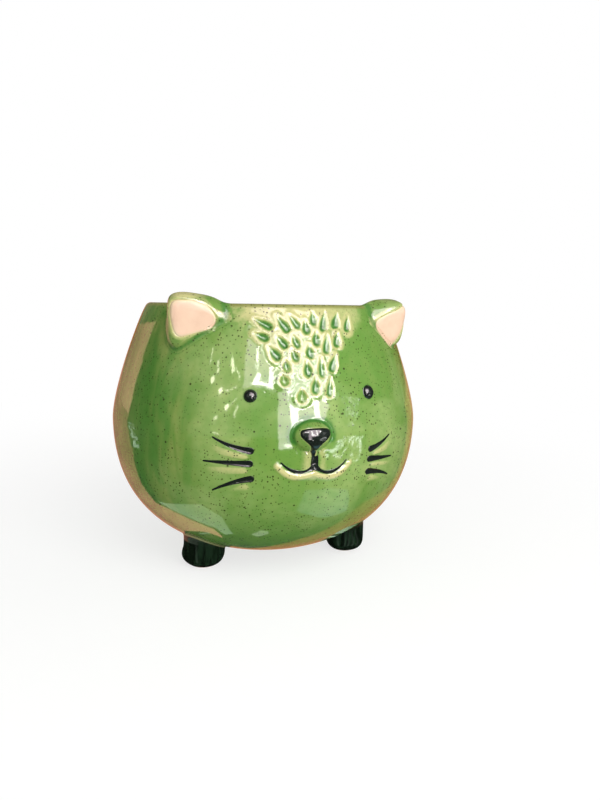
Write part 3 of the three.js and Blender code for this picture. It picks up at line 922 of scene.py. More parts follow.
# Dark green for glaze pooled in hollows, also used as painted shade in marks, beside lines and in creases.
POOLED_AND_SHADED_GLAZE = (0.045, 0.19, 0.030, 1)
LIP_GLAZE = (0.26, 0.27, 0.075, 1)
SPECK_BROWN = (0.038, 0.045, 0.012, 1)
BLACKS = (0.004, 0.006, 0.005, 1), (0.012, 0.018, 0.013, 1)
FOOT_GREENS = (0.003, 0.006, 0.003, 1), (0.010, 0.024, 0.012, 1)
FOOT_EDGE = (0.42, 0.42, 0.20, 1)
BARE_FOOT = (0.62, 0.40, 0.26, 1)
PINK_CLAYS = (0.77, 0.50, 0.345, 1), (0.83, 0.575, 0.41, 1)
POCKET_CLAY = (0.78, 0.54, 0.37, 1)
CLAY_RIM = (0.68, 0.60, 0.34, 1)
CLAY_SPECK = (0.30, 0.16, 0.09, 1)

SPECK_SHARE = 0.7
GLAZE_ROUGHNESS = 0.06
# Middle of the two lowest marks, in metres. Their glaze is painted less dark there, a painted reflection of the
# window in them.
WINDOW_REFLECTING_MARKS = (-0.0087, -0.0640, 0.0843)


def tone_group():
    """Masks for broad blotches, upright runs and a fine mottle."""
    group, tree, given, leave = new_group("glaze tone", "ShaderNodeTree", {
        "Vector": ("Vector", None), "Blotch size": ("Float", 22.0), "Run length": ("Float", 5.0),
    }, {"Blotches": "Float", "Runs": "Float", "Mottle": "Float"})
    scale = tree.over(1 / TO_METRES, given["Blotch size"])
    blotches = tree.noise(given["Vector"], scale, 3.0, 0.55, 0.6)
    squash = tree.join(1.0, 1.0, tree.over(1.0, given["Run length"]))
    stretched = tree.vector("MULTIPLY", given["Vector"], squash)
    runs = tree.noise(stretched, tree.times(scale, 4.2), 2.0, 0.5, 0.35)
    mottle = tree.noise(given["Vector"], tree.times(scale, 7.0), 3.0, 0.6)
    tree.feed(leave.inputs["Blotches"], tree.ramp(blotches, 0.32, 0.68))
    tree.feed(leave.inputs["Runs"], tree.ramp(runs, 0.34, 0.68))
    tree.feed(leave.inputs["Mottle"], tree.ramp(mottle, 0.3, 0.7))
    return group


def specks_group():
    """A mask for round specks of several sizes, with some left out."""
    group, tree, given, leave = new_group("glaze specks", "ShaderNodeTree", {
        "Vector": ("Vector", None), "Spacing": ("Float", 2.4), "Size": ("Float", 0.3), "Share": ("Float", 0.5),
    }, {"Specks": "Float"})
    cell = tree.add("ShaderNodeTexVoronoi", {
        "Vector": given["Vector"], "Scale": tree.over(1 / TO_METRES, given["Spacing"]), "Randomness": 1.0},
        feature="F1", voronoi_dimensions="3D").node.outputs
    chance = tree.add("ShaderNodeSeparateColor", {0: cell["Color"]}, "Red")
    shown = tree.ramp(chance, tree.minus(1.0, given["Share"]), 1.0, 0.0, 1.0, "LINEAR")
    radius = tree.over(tree.times(given["Size"], tree.maths("POWER", shown, 0.6)), given["Spacing"])
    tree.feed(leave.inputs["Specks"], tree.ramp(tree.minus(radius, cell["Distance"]), -0.02, 0.05))
    return group


def edges_group():
    """Glaze that is thin and pale over edges, and dark where it pools and where shade is painted into hollows,
    with ragged borders.
    """
    group, tree, given, leave = new_group("glaze over edges", "ShaderNodeTree", {
        "Body": ("Color", (0.3, 0.5, 0.1, 1)), "Thin": ("Color", (0.8, 0.75, 0.4, 1)),
        "Pooled": ("Color", (0.04, 0.2, 0.03, 1)), "Thinness": ("Float", 0.0), "Pooling": ("Float", 0.0),
        "Vector": ("Vector", None),
    }, {"Color": "Color"})
    body, thin = given["Body"], given["Thin"]
    rag = tree.times(tree.minus(tree.noise(given["Vector"], 900.0, 3.0, 0.6), 0.5), 0.5)

    def ragged(amount):
        return tree.plus(amount, tree.times(rag, tree.ramp(amount, 0.05, 0.4)))

    thinness, pooling_and_shade = ragged(given["Thinness"]), ragged(given["Pooling"])
    half_way = tree.mix(tree.ramp(thinness, 0.05, 0.55), body, tree.mix(0.5, body, thin))
    colour = tree.mix(tree.ramp(thinness, 0.45, 1.0), half_way, thin)
    tree.feed(leave.inputs["Color"], tree.mix(tree.ramp(pooling_and_shade, 0.1, 1.0), colour, given["Pooled"]))
    return group


def ripple_group():
    """The height of soft swells with small pits in them."""
    group, tree, given, leave = new_group("glaze ripple", "ShaderNodeTree", {
        "Vector": ("Vector", None), "Swell size": ("Float", 9.0), "Pits": ("Float", 0.25),
    }, {"Height": "Float"})
    swell = tree.noise(given["Vector"], tree.over(1 / TO_METRES, given["Swell size"]), 1.0, 0.4, 0.3)
    fine = tree.noise(given["Vector"], 420.0, 2.0, 0.5)
    cells = tree.add("ShaderNodeTexVoronoi", {"Vector": given["Vector"], "Scale": 260.0}, feature="F1")
    pits = tree.times(tree.ramp(cells, 0.0, 0.16, 1.0, 0.0), tree.times(given["Pits"], 0.25))
    tree.feed(leave.inputs["Height"], tree.minus(tree.plus(swell, tree.times(fine, 0.12)), pits))
    return group


def new_material(name):
    material = bpy.data.materials.new(name)
    material.use_nodes = True
    material.node_tree.nodes.clear()
    tree = Tree(material.node_tree)
    where = tree.add("ShaderNodeTexCoord", out="Object")
    return material, tree, where


def close_material(tree, colour, roughness, height, bump, ior=1.5):
    """The glossy shader itself, with a bump in millimetres."""
    normal = tree.add("ShaderNodeBump", {"Height": height, "Strength": 1.0, "Distance": bump * TO_METRES})
    shader = tree.add("ShaderNodeBsdfPrincipled", {
        "Base Color": colour, "Roughness": roughness, "Normal": normal, "IOR": ior})
    tree.add("ShaderNodeOutputMaterial", {"Surface": shader})


def grouped(tree, group, inputs):
    """The outputs of a shared group that is placed in a material."""
    node = tree.tree.nodes.new("ShaderNodeGroup")
    node.node_tree = group
    for key, value in inputs.items():
        tree.feed(node.inputs[key], value)
    return node.outputs


def rippled(tree, where, groups, swell_size, pits):
    return grouped(tree, groups["ripple"], {"Vector": where, "Swell size": swell_size, "Pits": pits})["Height"]


def attribute(tree, name):
    return tree.add("ShaderNodeAttribute", out="Fac", attribute_name=name)


def green_body(tree, where, groups):
    """The green of the body, with painted shade on its left flank and towards the bottom, before edges, pools
    and specks.
    """
    tone = grouped(tree, groups["tone"], {"Vector": where, "Blotch size": 26.0, "Run length": 6.0})
    place = tree.split(where)
    # Painted shade: the left flank, and its far edge near the top, are painted darker, with darker streaks
    # between the glaze runs there.
    flank = tree.ramp(place["X"], -0.034, -0.058)
    far_flank = tree.times(tree.ramp(place["X"], -0.050, -0.059), tree.ramp(place["Z"], 0.112, 0.098))
    colour = tree.mix(tone["Blotches"], *GREEN_BLOTCHES)
    flank_shade = tree.times(flank, tree.ramp(tone["Blotches"], 0.0, 1.0, 0.85, 0.35))
    colour = tree.mix(flank_shade, colour, FLANK_SHADE_GREEN)
    colour = tree.mix(tree.times(far_flank, 0.7), colour, FAR_FLANK_SHADE_GREEN)
    on_flank, on_far_flank = tree.ramp(flank, 0.0, 1.0, 0.18, 0.9), tree.ramp(far_flank, 0.0, 1.0, 1.0, 0.35)
    colour = tree.mix(tree.times(tone["Runs"], on_flank, on_far_flank, 0.75), colour, PALE_RUN)
    shade_between_runs = tree.times(tree.minus(1.0, tone["Runs"]), tree.times(flank, 0.5))
    colour = tree.mix(shade_between_runs, colour, DARK_RUN_SHADE)
    colour = tree.mix(tree.times(tone["Mottle"], 0.32), colour, MOTTLE_GREEN)
    # Painted shade: the wall is painted darker towards the bottom.
    low = tree.ramp(place["Z"], 0.048, 0.012)
    return tree.mix(tree.times(low, 0.7), colour, UNDERSIDE_SHADE_GREEN)


def over_edges(tree, where, groups, thinness, pooling_and_shade):
    return grouped(tree, groups["edges"], {
        "Body": green_body(tree, where, groups), "Thin": THIN_GLAZE, "Pooled": POOLED_AND_SHADED_GLAZE,
        "Thinness": thinness, "Pooling": pooling_and_shade, "Vector": where})["Color"]


def speckled(tree, where, groups, colour):
    """A colour with a few large specks, and small ones that gather in clusters."""
    large = grouped(tree, groups["specks"], {
        "Vector": where, "Spacing": 2.3, "Size": 0.52, "Share": 0.4 * SPECK_SHARE})["Specks"]
    small = grouped(tree, groups["specks"], {
        "Vector": tree.vector("ADD", where, (0.7, 0.2, 0.4)), "Spacing": 1.0, "Size": 0.37,
        "Share": SPECK_SHARE})["Specks"]
    cluster = tree.ramp(tree.noise(where, 75.0, 2.0, 0.6), 0.34, 0.60, 0.2, 1.0)
    mask = tree.largest(large, tree.times(small, cluster))
    return tree.mix(tree.times(mask, 0.92), colour, SPECK_BROWN)


def pot_glaze(groups):
    """The pot's glaze, pale round the marks and on the brow, and dark in every hollow from pooled glaze and
    painted shade.
    """
    material, tree, where = new_material("green glaze on the pot")
    mark, whisker, smile, whisker_bank, smile_bank, crease = (
        attribute(tree, name) for name in ("mark", "whisker", "smile", "whisker_bank", "smile_bank", "crease"))
    place = tree.split(where)
    height = place["Z"]
    beside_marks = tree.ramp(mark, -0.4, 0.15)
    reach = tree.ramp(height, 0.084, 0.106, 1.0, 3.4)
    halo = tree.times(tree.ramp(mark, reach, tree.times(reach, 0.3)), beside_marks)
    drift = tree.times(tree.minus(tree.noise(where, 160.0, 3.0, 0.6), 0.5), 0.016)
    from_middle = tree.plus(tree.maths("ABSOLUTE", tree.plus(place["X"], 0.001)), drift)
    wash = tree.times(
        tree.ramp(tree.plus(height, drift), 0.1035, 0.1095), tree.ramp(from_middle, 0.030, 0.021),
        tree.ramp(place["Y"], -0.02, -0.03), tree.ramp(place["X"], 0.004, 0.020, 1.0, 0.62), beside_marks)
    thinness = tree.largest(
        tree.times(halo, 0.72), tree.times(wash, 0.85), tree.times(whisker_bank, 0.68), smile_bank)
    # Painted reflection: the two lowest marks are kept paler, as if they showed the window.
    window_reflecting = tree.ramp(tree.vector("DISTANCE", where, WINDOW_REFLECTING_MARKS, out="Value"), 0.0088, 0.0066)
    # Pooled glaze and painted shade: dark in the marks, beside the whisker and smile lines, and in the creases
    # round the luted pieces.
    pooling_and_shade = tree.largest(
        tree.times(tree.ramp(mark, 0.1, -1.1), tree.ramp(window_reflecting, 0.0, 1.0, 0.85, 0.22)),
        tree.times(tree.ramp(tree.maths("MINIMUM", whisker, smile), 0.35, 0.0), 0.8),
        tree.times(tree.ramp(crease, 2.6, 0.6), 0.9))
    lip = tree.times(tree.ramp(height, 0.1126, 0.1138), 0.85)
    colour = tree.mix(lip, over_edges(tree, where, groups, thinness, pooling_and_shade), LIP_GLAZE)
    colour = speckled(tree, where, groups, colour)
    close_material(tree, colour, GLAZE_ROUGHNESS, rippled(tree, where, groups, 11.0, 0.3), 0.12)
    return material


def fitted_glaze(groups):
    """The same glaze on ears and nose, which thins over their edges and towards bare clay."""
    material, tree, where = new_material("green glaze on ears and nose")
    ridge, crease, inlay, fold, worn = (
        attribute(tree, name) for name in ("ridge", "crease", "inlay", "fold", "worn"))
    thinness = tree.largest(
        tree.times(tree.ramp(ridge, 0.16, 0.6), 0.42), tree.times(tree.ramp(inlay, 1.7, 0.2), 0.8),
        tree.times(tree.ramp(fold, 1.7, 0.5), 0.9), worn)
    # Pooled glaze and painted shade: dark in the creases where ears and nose meet the pot, and in the ears'
    # hollows.
    pooling_and_shade = tree.largest(
        tree.times(tree.ramp(crease, 1.9, 0.4), 0.85), tree.times(tree.ramp(ridge, -0.1, -0.7), 0.4))
    colour = over_edges(tree, where, groups, thinness, pooling_and_shade)
    colour = tree.mix(tree.ramp(inlay, 0.4, -0.1), colour, POCKET_CLAY)
    colour = speckled(tree, where, groups, colour)
    close_material(tree, colour, GLAZE_ROUGHNESS, rippled(tree, where, groups, 8.0, 0.3), 0.12)
    return material


def black_glaze(groups):
    material, tree, where = new_material("black glaze")
    tone = grouped(tree, groups["tone"], {"Vector": where, "Blotch size": 4.0, "Run length": 1.0})
    colour = tree.mix(tone["Mottle"], *BLACKS)
    close_material(tree, colour, 0.11, rippled(tree, where, groups, 3.0, 0.0), 0.02)
    return material


def foot_glaze(groups):
    """Nearly black green, pale where it meets the pot, and worn off under the foot."""
    material, tree, where = new_material("dark green glaze on the feet")
    tone = grouped(tree, groups["tone"], {"Vector": where, "Blotch size": 8.0, "Run length": 5.0})
    colour = tree.mix(tone["Runs"], *FOOT_GREENS)
    colour = tree.mix(tree.ramp(attribute(tree, "crease"), 0.8, 0.25), colour, FOOT_EDGE)
    bare = tree.ramp(tree.split(where)["Z"], 0.0009, 0.0004)
    colour = tree.mix(bare, colour, BARE_FOOT)
    roughness = tree.ramp(bare, 0.0, 1.0, 0.10, 0.8)
    close_material(tree, colour, roughness, rippled(tree, where, groups, 5.0, 0.3), 0.10, 1.3)
    return material


def bare_clay(groups):
    """Matt pink clay with fine grain, a few specks and a pale rim where the glaze ends."""
    material, tree, where = new_material("bare pink clay")
    colour = tree.mix(tree.ramp(tree.noise(where, 120.0, 4.0, 0.6), 0.3, 0.7), *PINK_CLAYS)
    rim = tree.ramp(attribute(tree, "inlay"), -0.9, 0.1)
    colour = tree.mix(tree.times(rim, 0.6), colour, CLAY_RIM)
    specks = grouped(tree, groups["specks"], {"Vector": where, "Spacing": 3.4, "Size": 0.3, "Share": 0.16})
    colour = tree.mix(tree.times(specks["Specks"], 0.7), colour, CLAY_SPECK)
    close_material(tree, colour, 0.62, tree.noise(where, 2600.0, 4.0, 0.7), 0.05)
    return material


# The pieces

def profile_rows():
    """The pot's cut shape, one point to a row of faces, closed round the drain hole."""
    def spaced(line, rows):
        line = np.array(line, float)
        length = np.concatenate([[0], np.cumsum(np.linalg.norm(np.diff(line, axis=0), axis=1))])
        count = max(2, round(length[-1] / ROW_GAPS[rows]) + 1)
        at = np.linspace(0, length[-1], count)
        return np.stack([np.interp(at, length, line[:, k]) for k in range(2)], -1)

    def drain_edge(height, first, last):
        turn = np.radians(np.linspace(first, last, 5))
        reach = DRAIN_RADIUS + DRAIN_EDGE_ROUND
        return np.stack([reach + DRAIN_EDGE_ROUND * np.cos(turn), height + DRAIN_EDGE_ROUND * np.sin(turn)], -1)

    low_edge = drain_edge(BASE_CLEARANCE + DRAIN_EDGE_ROUND, 180, 270)
    high_edge = drain_edge(FLOOR_HEIGHT - DRAIN_EDGE_ROUND, 90, 180)
    inner = OUTER - WALL_THICKNESS * OUTER_NORMAL
    inner = inner[(inner[:, 1] < LIP_HEIGHT - LIP_ROUND) & (inner[:, 1] > FLOOR_HEIGHT + 0.25)][::-1]
    return np.concatenate([
        low_edge,
        spaced([low_edge[-1], (BASE_RADIUS - 0.5, BASE_CLEARANCE)], "flat"),
        spaced(OUTER[OUTER[:, 1] < FACE_BOTTOM], "low"),
        spaced(OUTER[OUTER[:, 1] >= FACE_BOTTOM], "face"),
        spaced(lip_arc(LIP_LEAN, math.pi + LIP_LEAN, 60), "lip")[1:],
        spaced(inner, "inside"),
        spaced([(inner[-1, 0] - 2.0, FLOOR_HEIGHT), high_edge[0]], "flat"),
        high_edge[1:],
        low_edge[:1],
    ])


def pot_wall(tree, glaze):
    rows = profile_rows()
    line = bpy.data.meshes.new("cut_shape")
    points = np.stack([rows[:, 0], 0 * rows[:, 0], rows[:, 1]], -1) * TO_METRES
    line.from_pydata(points.tolist(), [(k, k + 1) for k in range(len(rows) - 1)], [])
    wall = grown("pot_body_glazed", line, tree, {
        "Face columns": FACE_COLUMNS, "Back columns": BACK_COLUMNS, "Face half angle": FACE_HALF_ANGLE,
        "Axis": POT_AXIS * TO_METRES, "Glaze": glaze})
    settle_wall(wall.data)
    return wall


def settle_wall(mesh):
    """Moves the outer wall inwards by the hand's wobble."""
    points = points_of(mesh)
    x, y = points[:, 0], points[:, 1] - POT_AXIS
    radius = np.hypot(x, y)
    outside = np.abs(radius - wall_radius(points[:, 2])) < 0.5
    azimuth = np.arctan2(x, -y)
    share = np.where(outside, (radius - hand_wobble(azimuth, points[:, 2])) / radius, 1)
    points[:, 0] = x * share
    points[:, 1] = y * share + POT_AXIS
    mesh.vertices.foreach_set("co", (points * TO_METRES).astype(np.float32).ravel())
    mesh.update()


def pressed(wall, tree, name, strokes, glaze, sizes):
    """A wall with strokes pressed in, which keeps the distance from them and the banks by name."""
    lines = strokes_object(name + "_strokes", strokes)
    start, wall_name = wall.data, wall.name
    bpy.data.objects.remove(wall)
    made = grown(wall_name, start, tree, {
        **sizes, "Strokes": lines, "Glaze": glaze, "Edge name": name, "Bank name": name + "_bank"})
    bpy.data.objects.remove(lines)
    return made


def crease_on_pot(points):
    """Distance along the pot to the nearest piece that is luted to it."""
    # These distances set where the pot's glaze darkens round its luted pieces, as pooled glaze and painted
    # shade.
    gaps = [ear_gap(points, shape) for shape in EARS.values()]
    gaps.append(boss_crease(points))
    gaps += [eye_gap(points, side) + 1.2 for side in EYE_AZIMUTHS]
    gaps += [foot_gap(points, azimuth) + 0.6 for azimuth in FEET.values()]
    return np.min(gaps, axis=0) + 9 * smooth(wall_gap(points), -1.5, -3.0)


def make_pot(trees, glaze):
    """The finished pot, and its wall as it was before the strokes were pressed in."""
    pot = pot_wall(trees["turned"], glaze)
    smooth_wall = new_object("smooth_wall", pot.data.copy())
    fur = [fur_stroke(*mark, k) for k, mark in enumerate(FUR_MARKS)]
    whiskers = [whisker_stroke(*whisker) for whisker in WHISKERS.values()]
    for name, strokes, sizes in (("mark", fur, MARK_PRESS),
                                 ("whisker", whiskers + [upright_stroke()], WHISKER_PRESS),
                                 ("smile", smile_strokes(), SMILE_PRESS)):
        pot = pressed(pot, trees["pressed"], name, strokes, glaze, sizes)
    set_attribute(pot.data, "crease", crease_on_pot(points_of(pot.data)))
    return dress(pot, "pot_body"), smooth_wall


def make_bead(node, strokes, wall, tree, glaze):
    """One or more brushed strokes as one piece."""
    name = node + "_glazed"
    whole = bmesh.new()
    for stroke in strokes:
        line = strokes_object(name, [stroke])
        start = line.data
        bpy.data.objects.remove(line)
        part = grown(name, start, tree, {**BEAD, "Wall": wall, "Glaze": glaze}, thickness=BEAD_THICKNESS)
        whole.from_mesh(part.data)
        bpy.data.objects.remove(part)
    mesh = bpy.data.meshes.new(name)
    whole.to_mesh(mesh)
    whole.free()
    mesh.materials.append(glaze)
    return dress(new_object(name, mesh), node)


def node_box(node, margin):
    low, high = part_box(node)
    return np.array(low) / TO_METRES - margin, np.array(high) / TO_METRES + margin


def make_fitted(node, gap, fillet, step, slot, finish, margin=4.5, **marks):
    """A piece luted to the pot, with distances stored for its glaze."""
    def joined(at):
        return luted(gap(at), wall_gap(at), fillet)

    points, faces = skin(fitted(gap, fillet), *node_box(node, margin), step)
    stored = {
        "crease": lambda at: np.maximum(gap(at), 0) + np.maximum(wall_gap(at), 0),
        "ridge": lambda at: ridge_of(joined, at, 0.8),
        **marks,
    }
    return new_piece(node + "_glazed", points, faces, slot, node, finish,
                     **{key: mark(points) for key, mark in stored.items()})


def make_ears(glaze, clay):
    for name, shape in EARS.items():
        make_fitted(name, partial(ear_gap, shape=shape), EAR_FILLET, 0.42, "green_glaze", glaze,
                    inlay=partial(lining_edge, shape=shape), fold=partial(fold_edge, shape=shape),
                    worn=partial(worn_top, shape=shape))
        lining = name + "_lining"
        points, faces = skin(partial(lining_gap, shape=shape), *node_box(lining, 3.2), 0.3)
        new_piece(lining + "_clay", points, faces, "bare_clay", lining, clay, inlay=lining_edge(points, shape))


def cut_corners(corners, times):
    """A smoother closed outline, made by cutting off the corners again and again."""
    line = np.array(corners, float)
    for _ in range(times):
        ahead = np.roll(line, -1, 0)
        line = np.stack([0.75 * line + 0.25 * ahead, 0.25 * line + 0.75 * ahead], 1).reshape(-1, 2)
    return [tuple(point) for point in line]


PAD_OUTLINE = cut_corners(PAD_CORNERS, 2)


def pad_edge(points):
    x, y, _ = in_frame(points, wall_frame(NOSE_AZIMUTH, NOSE_HEIGHT))
    return outline_gap(x, y, PAD_OUTLINE)


def pad_gap(points):
    """The nose pad, which thins out towards the mouth."""
    y = in_frame(points, wall_frame(NOSE_AZIMUTH, NOSE_HEIGHT))[1]
    joined = luted(boss_gap(points), wall_gap(points), BOSS_FILLET)
    thickness = PAD_THIN_END + (PAD_THICKNESS - PAD_THIN_END) * smooth(y, -7.5, -3.5)
    return np.maximum(round_cut(pad_edge(points), joined - thickness, 0.9), -(joined + 0.5))


def make_nose(glaze, black):
    """The boss with its pad. It has no fold and no worn top, unlike the ears."""
    make_fitted("nose_boss", boss_gap, BOSS_FILLET, 0.35, "green_glaze", glaze,
                crease=lambda at: boss_crease(at) + 0.7 * np.maximum(wall_gap(at), 0),
                inlay=lambda at: pad_edge(at) + 0.9, fold=lambda at: 9 + 0 * at[:, 0],
                worn=lambda at: 0 * at[:, 0])
    points, faces = skin(pad_gap, *node_box("nose_pad", 6.0), 0.24)
    new_piece("nose_pad_glazed", points, faces, "black_glaze", "nose_pad", black)


def make_eyes(black):
    for name, side in (("left_eye", -1), ("right_eye", 1)):
        make_fitted(name, partial(eye_gap, side=side), EYE_FILLET, 0.2, "black_glaze", black, 2.0)


def make_feet(glaze):
    for name, azimuth in FEET.items():
        gap = partial(foot_gap, azimuth=azimuth)
        make_fitted(name, gap, FOOT_FILLET, 0.5, "dark_green_glaze", glaze, 3.0)


# Studio

ROOM_MIDDLE = Vector((0, POT_AXIS, 62))
AMBIENT_LEVEL = 0.46
# The table and the floor under it reach this far, in millimetres, and walls begin at the horizon.
ROOM_REACH = 4500
HORIZON = -0.8

WHITE = (1.0, 0.97, 0.92)
SHADE = (0.5, 0.62, 0.5)
TAN = (1.0, 0.42, 0.28)
VEIL = (1.0, 0.83, 0.91)
PALE_WALL = (0.9, 1.0, 0.95)
FILM = (0.95, 1.0, 0.95)
LAMPLIGHT = (1.0, 0.95, 0.75)
FOOT_CARD = (0.75, 1.0, 0.8)

# The warm table behind the pot, the edge that it shows towards the left, and how that edge fades.
TABLE = [
    (-28, -16), (-14, -22), (-4, -34), (8, -41), (40, -49), (60, -50), (76, -38), (96, -16), (133, 12),
    (262, 78), (700, 300), (ROOM_REACH, 2200), (ROOM_REACH, ROOM_REACH), (-28, ROOM_REACH),
]
TABLE_EDGE = [
    (-33, -32), (-41, -36), (-51, -31), (-61, -25), (-72, -12), (-80, 6), (-107, 31), (-195, 92),
    (-640, 545), (-ROOM_REACH, 4000),
]
EDGE_INSIDE = [
    (-28, -14), (-32, -12), (-38, -9), (-44, -4), (-52, 4), (-60, 20), (-76, 60), (-95, 170),
    (-260, 900), (-1100, ROOM_REACH),
]
EDGE_LEVELS = [1.0, 1.0, 1.0, 1.0, 0.85, 0.65, 0.5, 0.42, 0.45, 0.5] + [0.2] * len(EDGE_INSIDE)

# The window's bright bars, each by the directions of its four corners.
WINDOW_BARS = {
    "bar_far_left": [(-27, 26), (-22.5, 25.5), (-19.5, 30), (-22.5, 31)],
    "bar_thin_left": [(-24, 33), (-22.5, 32), (-22.5, 36), (-24, 38)],
    "bar_left_foot": [(-22, 25.8), (-7, 24.8), (-8.5, 26.4), (-20, 28)],
    "bar_left": [(-12.8, 25), (-9.6, 25), (-9.2, 38), (-11.2, 38)],
    "bar_middle": [(2.0, 7.5), (7.5, 6.5), (6.5, 40), (1.5, 40)],
    "bar_middle_foot": [(1.5, 6.8), (19, 5.6), (17, 7.6), (6.5, 13)],
    "bar_right": [(19.5, 5), (23.5, 5), (27, 42), (22, 42)],
    "bar_far_right": [(34, 20), (38, 21), (40, 30), (35, 30)],
}
# Sparkles of a lamp: both ends as azimuth and elevation, half width in degrees, level.
SPARKLES = [
    ((-38.0, 25.2), (-47.5, 23.6), 0.25, 14), ((-49.5, 24.2), (-51.5, 22.2), 0.9, 26),
    ((-56.5, 26.2), (-58.8, 24.6), 0.6, 26), ((-36.8, 22.0), (-43.6, 17.6), 0.25, 14),
    ((-43.5, 18.6), (-46.2, 16.6), 0.8, 26), ((-35.2, 19.6), (-38.4, 13.4), 0.45, 16),
    ((-37.0, 28.2), (-41.0, 31.2), 0.3, 16), ((-42.4, 29.2), (-43.6, 33.0), 0.9, 22),
    ((-54.6, 27.2), (-56.0, 30.2), 0.6, 18), ((-62.0, 29.0), (-64.5, 33.5), 0.4, 10),
    ((-50.0, 12.0), (-53.0, 11.2), 0.5, 14), ((-52.5, 2.0), (-48.5, 0.8), 0.6, 12),
]
# Azimuths of the glints in the feet, in degrees, and how wide a glint is.
FOOT_GLINTS = {"foot_front_left": (-36,), "foot_front_right": (-45, -20, -8, 4, 18), "foot_rear": (0,)}
GLINT_WIDTH = 2.2
SCREEN_RADIUS = 10.8


def direction(azimuth, elevation):
    """Unit vector towards a place in the room. Azimuth 0 is straight in front of the face."""
    a, e = math.radians(azimuth), math.radians(elevation)
    return Vector((math.sin(a) * math.cos(e), -math.cos(a) * math.cos(e), math.sin(e)))


def soft_lamp(name, azimuth, elevation, distance, size, level):
    """A broad lamp that lights the pot without showing in its glaze."""
    data = bpy.data.lights.new(name, "AREA")
    data.shape = "RECTANGLE"
    data.size, data.size_y = size[0] * TO_METRES, size[1] * TO_METRES
    data.energy = level * math.pi * data.size * data.size_y
    lamp = new_object(name, data)
    away = direction(azimuth, elevation)
    lamp.location = (ROOM_MIDDLE + away * distance) * TO_METRES
    lamp.rotation_mode = "QUATERNION"
    lamp.rotation_quaternion = away.to_track_quat("Z", "Y")
    lamp.visible_camera = lamp.visible_glossy = False


def board_paint(name, colour, strength, streaks):
    """Glowing paint, clouded, or in streaks with gaps: how many to the metre, turn, squash."""
    material, tree, where = new_material(name)
    if streaks:
        scale, turn, squash = streaks
        turned = tree.add("ShaderNodeVectorRotate", {"Vector": where, "Angle": math.radians(turn)},
                          rotation_type="Z_AXIS")
        drawn_out = tree.vector("MULTIPLY", turned, (squash, 1.0, 1.0))
        pattern = tree.ramp(tree.noise(drawn_out, scale, 3.0, 0.6, 1.4), 0.48, 0.60)
    else:
        pattern = tree.ramp(tree.noise(where, 1.5, 2.0, 0.5), 0.3, 0.7, 0.85, 1.15)
    level = tree.times(pattern, attribute(tree, "level"), strength)
    glow = tree.add("ShaderNodeEmission", {"Color": (*colour, 1), "Strength": level})
    tree.add("ShaderNodeOutputMaterial", {"Surface": glow})
    return material


def board(name, points, faces, levels, colour, strength, streaks=None):
    """A board that shows in the glaze, and nowhere else. Its points are in metres."""
    mesh = bpy.data.meshes.new(name)
    mesh.from_pydata(points, [], faces)
    set_attribute(mesh, "level", levels)
    mesh.materials.append(board_paint("paint of " + name, colour, strength, streaks))
    made = new_object(name, mesh)
    for kind in ("camera", "diffuse", "transmission", "volume_scatter", "shadow"):
        setattr(made, "visible_" + kind, False)


def room_board(name, corners, distance, colour, strength, cells=4, first_level=1.0, streaks=None):
    """A board round the pot. Its corners are directions: lower left and right, then upper right and left."""
    lower_left, lower_right, upper_right, upper_left = corners
    steps = [k / cells for k in range(cells + 1)]
    points, levels = [], []
    for v in steps:
        for u in steps:
            at = [(1 - v) * ((1 - u) * lower_left[k] + u * lower_right[k])
                  + v * ((1 - u) * upper_left[k] + u * upper_right[k]) for k in (0, 1)]
            points.append((ROOM_MIDDLE + direction(*at) * distance) * TO_METRES)
            levels.append(first_level + (1 - first_level) * u ** 1.5)
    row = cells + 1
    faces = [(a, a + 1, a + row + 1, a + row) for j in range(cells) for a in range(j * row, j * row + cells)]
    board(name, points, faces, levels, colour, strength, streaks)


def at_height(outline, height):
    """The points of a flat outline at one height, in metres."""
    return [(x * TO_METRES, y * TO_METRES, height * TO_METRES) for x, y in outline]


def floor_sheet(name, outline, height, colour, strength, streaks=None):
    levels = [1.0] * len(outline)
    board(name, at_height(outline, height), [range(len(outline))], levels, colour, strength, streaks)


def fading_strip(name, edge, inside, height, colour, strength, levels):
    """A strip of the table that fades from its edge inwards."""
    faces = [(k, k + 1, len(edge) + k + 1, len(edge) + k) for k in range(len(edge) - 1)]
    board(name, at_height(edge + inside, height), faces, levels, colour, strength)


def foot_screen(name, azimuth):
    """A dark card round a foot, low and near, with slits that show as glints in its glaze."""
    centre = np.array([FOOT_CIRCLE * math.sin(azimuth), POT_AXIS - FOOT_CIRCLE * math.cos(azimuth)])
    turns = np.linspace(-130, 110, 81)
    glint = np.max([np.exp(-((turns - at) / GLINT_WIDTH) ** 2) for at in FOOT_GLINTS[name]], axis=0)
    points, levels = [], []
    for turn, bright in zip(np.radians(turns), glint):
        x, y = centre + SCREEN_RADIUS * np.array([math.sin(turn), -math.cos(turn)])
        top = 9.3 + 2.4 * max(0, math.cos(turn - azimuth))
        points += [(x * TO_METRES, y * TO_METRES, z * TO_METRES) for z in (0.3, top)]
        levels += [0.015 + bright, 0.015 + 0.3 * bright]
    faces = [(2 * k, 2 * k + 2, 2 * k + 3, 2 * k + 1) for k in range(len(turns) - 1)]
    board(name + "_screen", points, faces, levels, FOOT_CARD, 2.6)
    # Painted shadow: a dark disc round the foot stands in for its shadow on the table, where the glaze reflects
    # it.
    ring = [tuple(centre + (SCREEN_RADIUS - 0.1) * np.array([math.cos(turn), math.sin(turn)]))
            for turn in np.linspace(0, 2 * math.pi, 24, endpoint=False)]
    floor_sheet(name + "_shade", ring, 0.9, FOOT_CARD, 0.03)


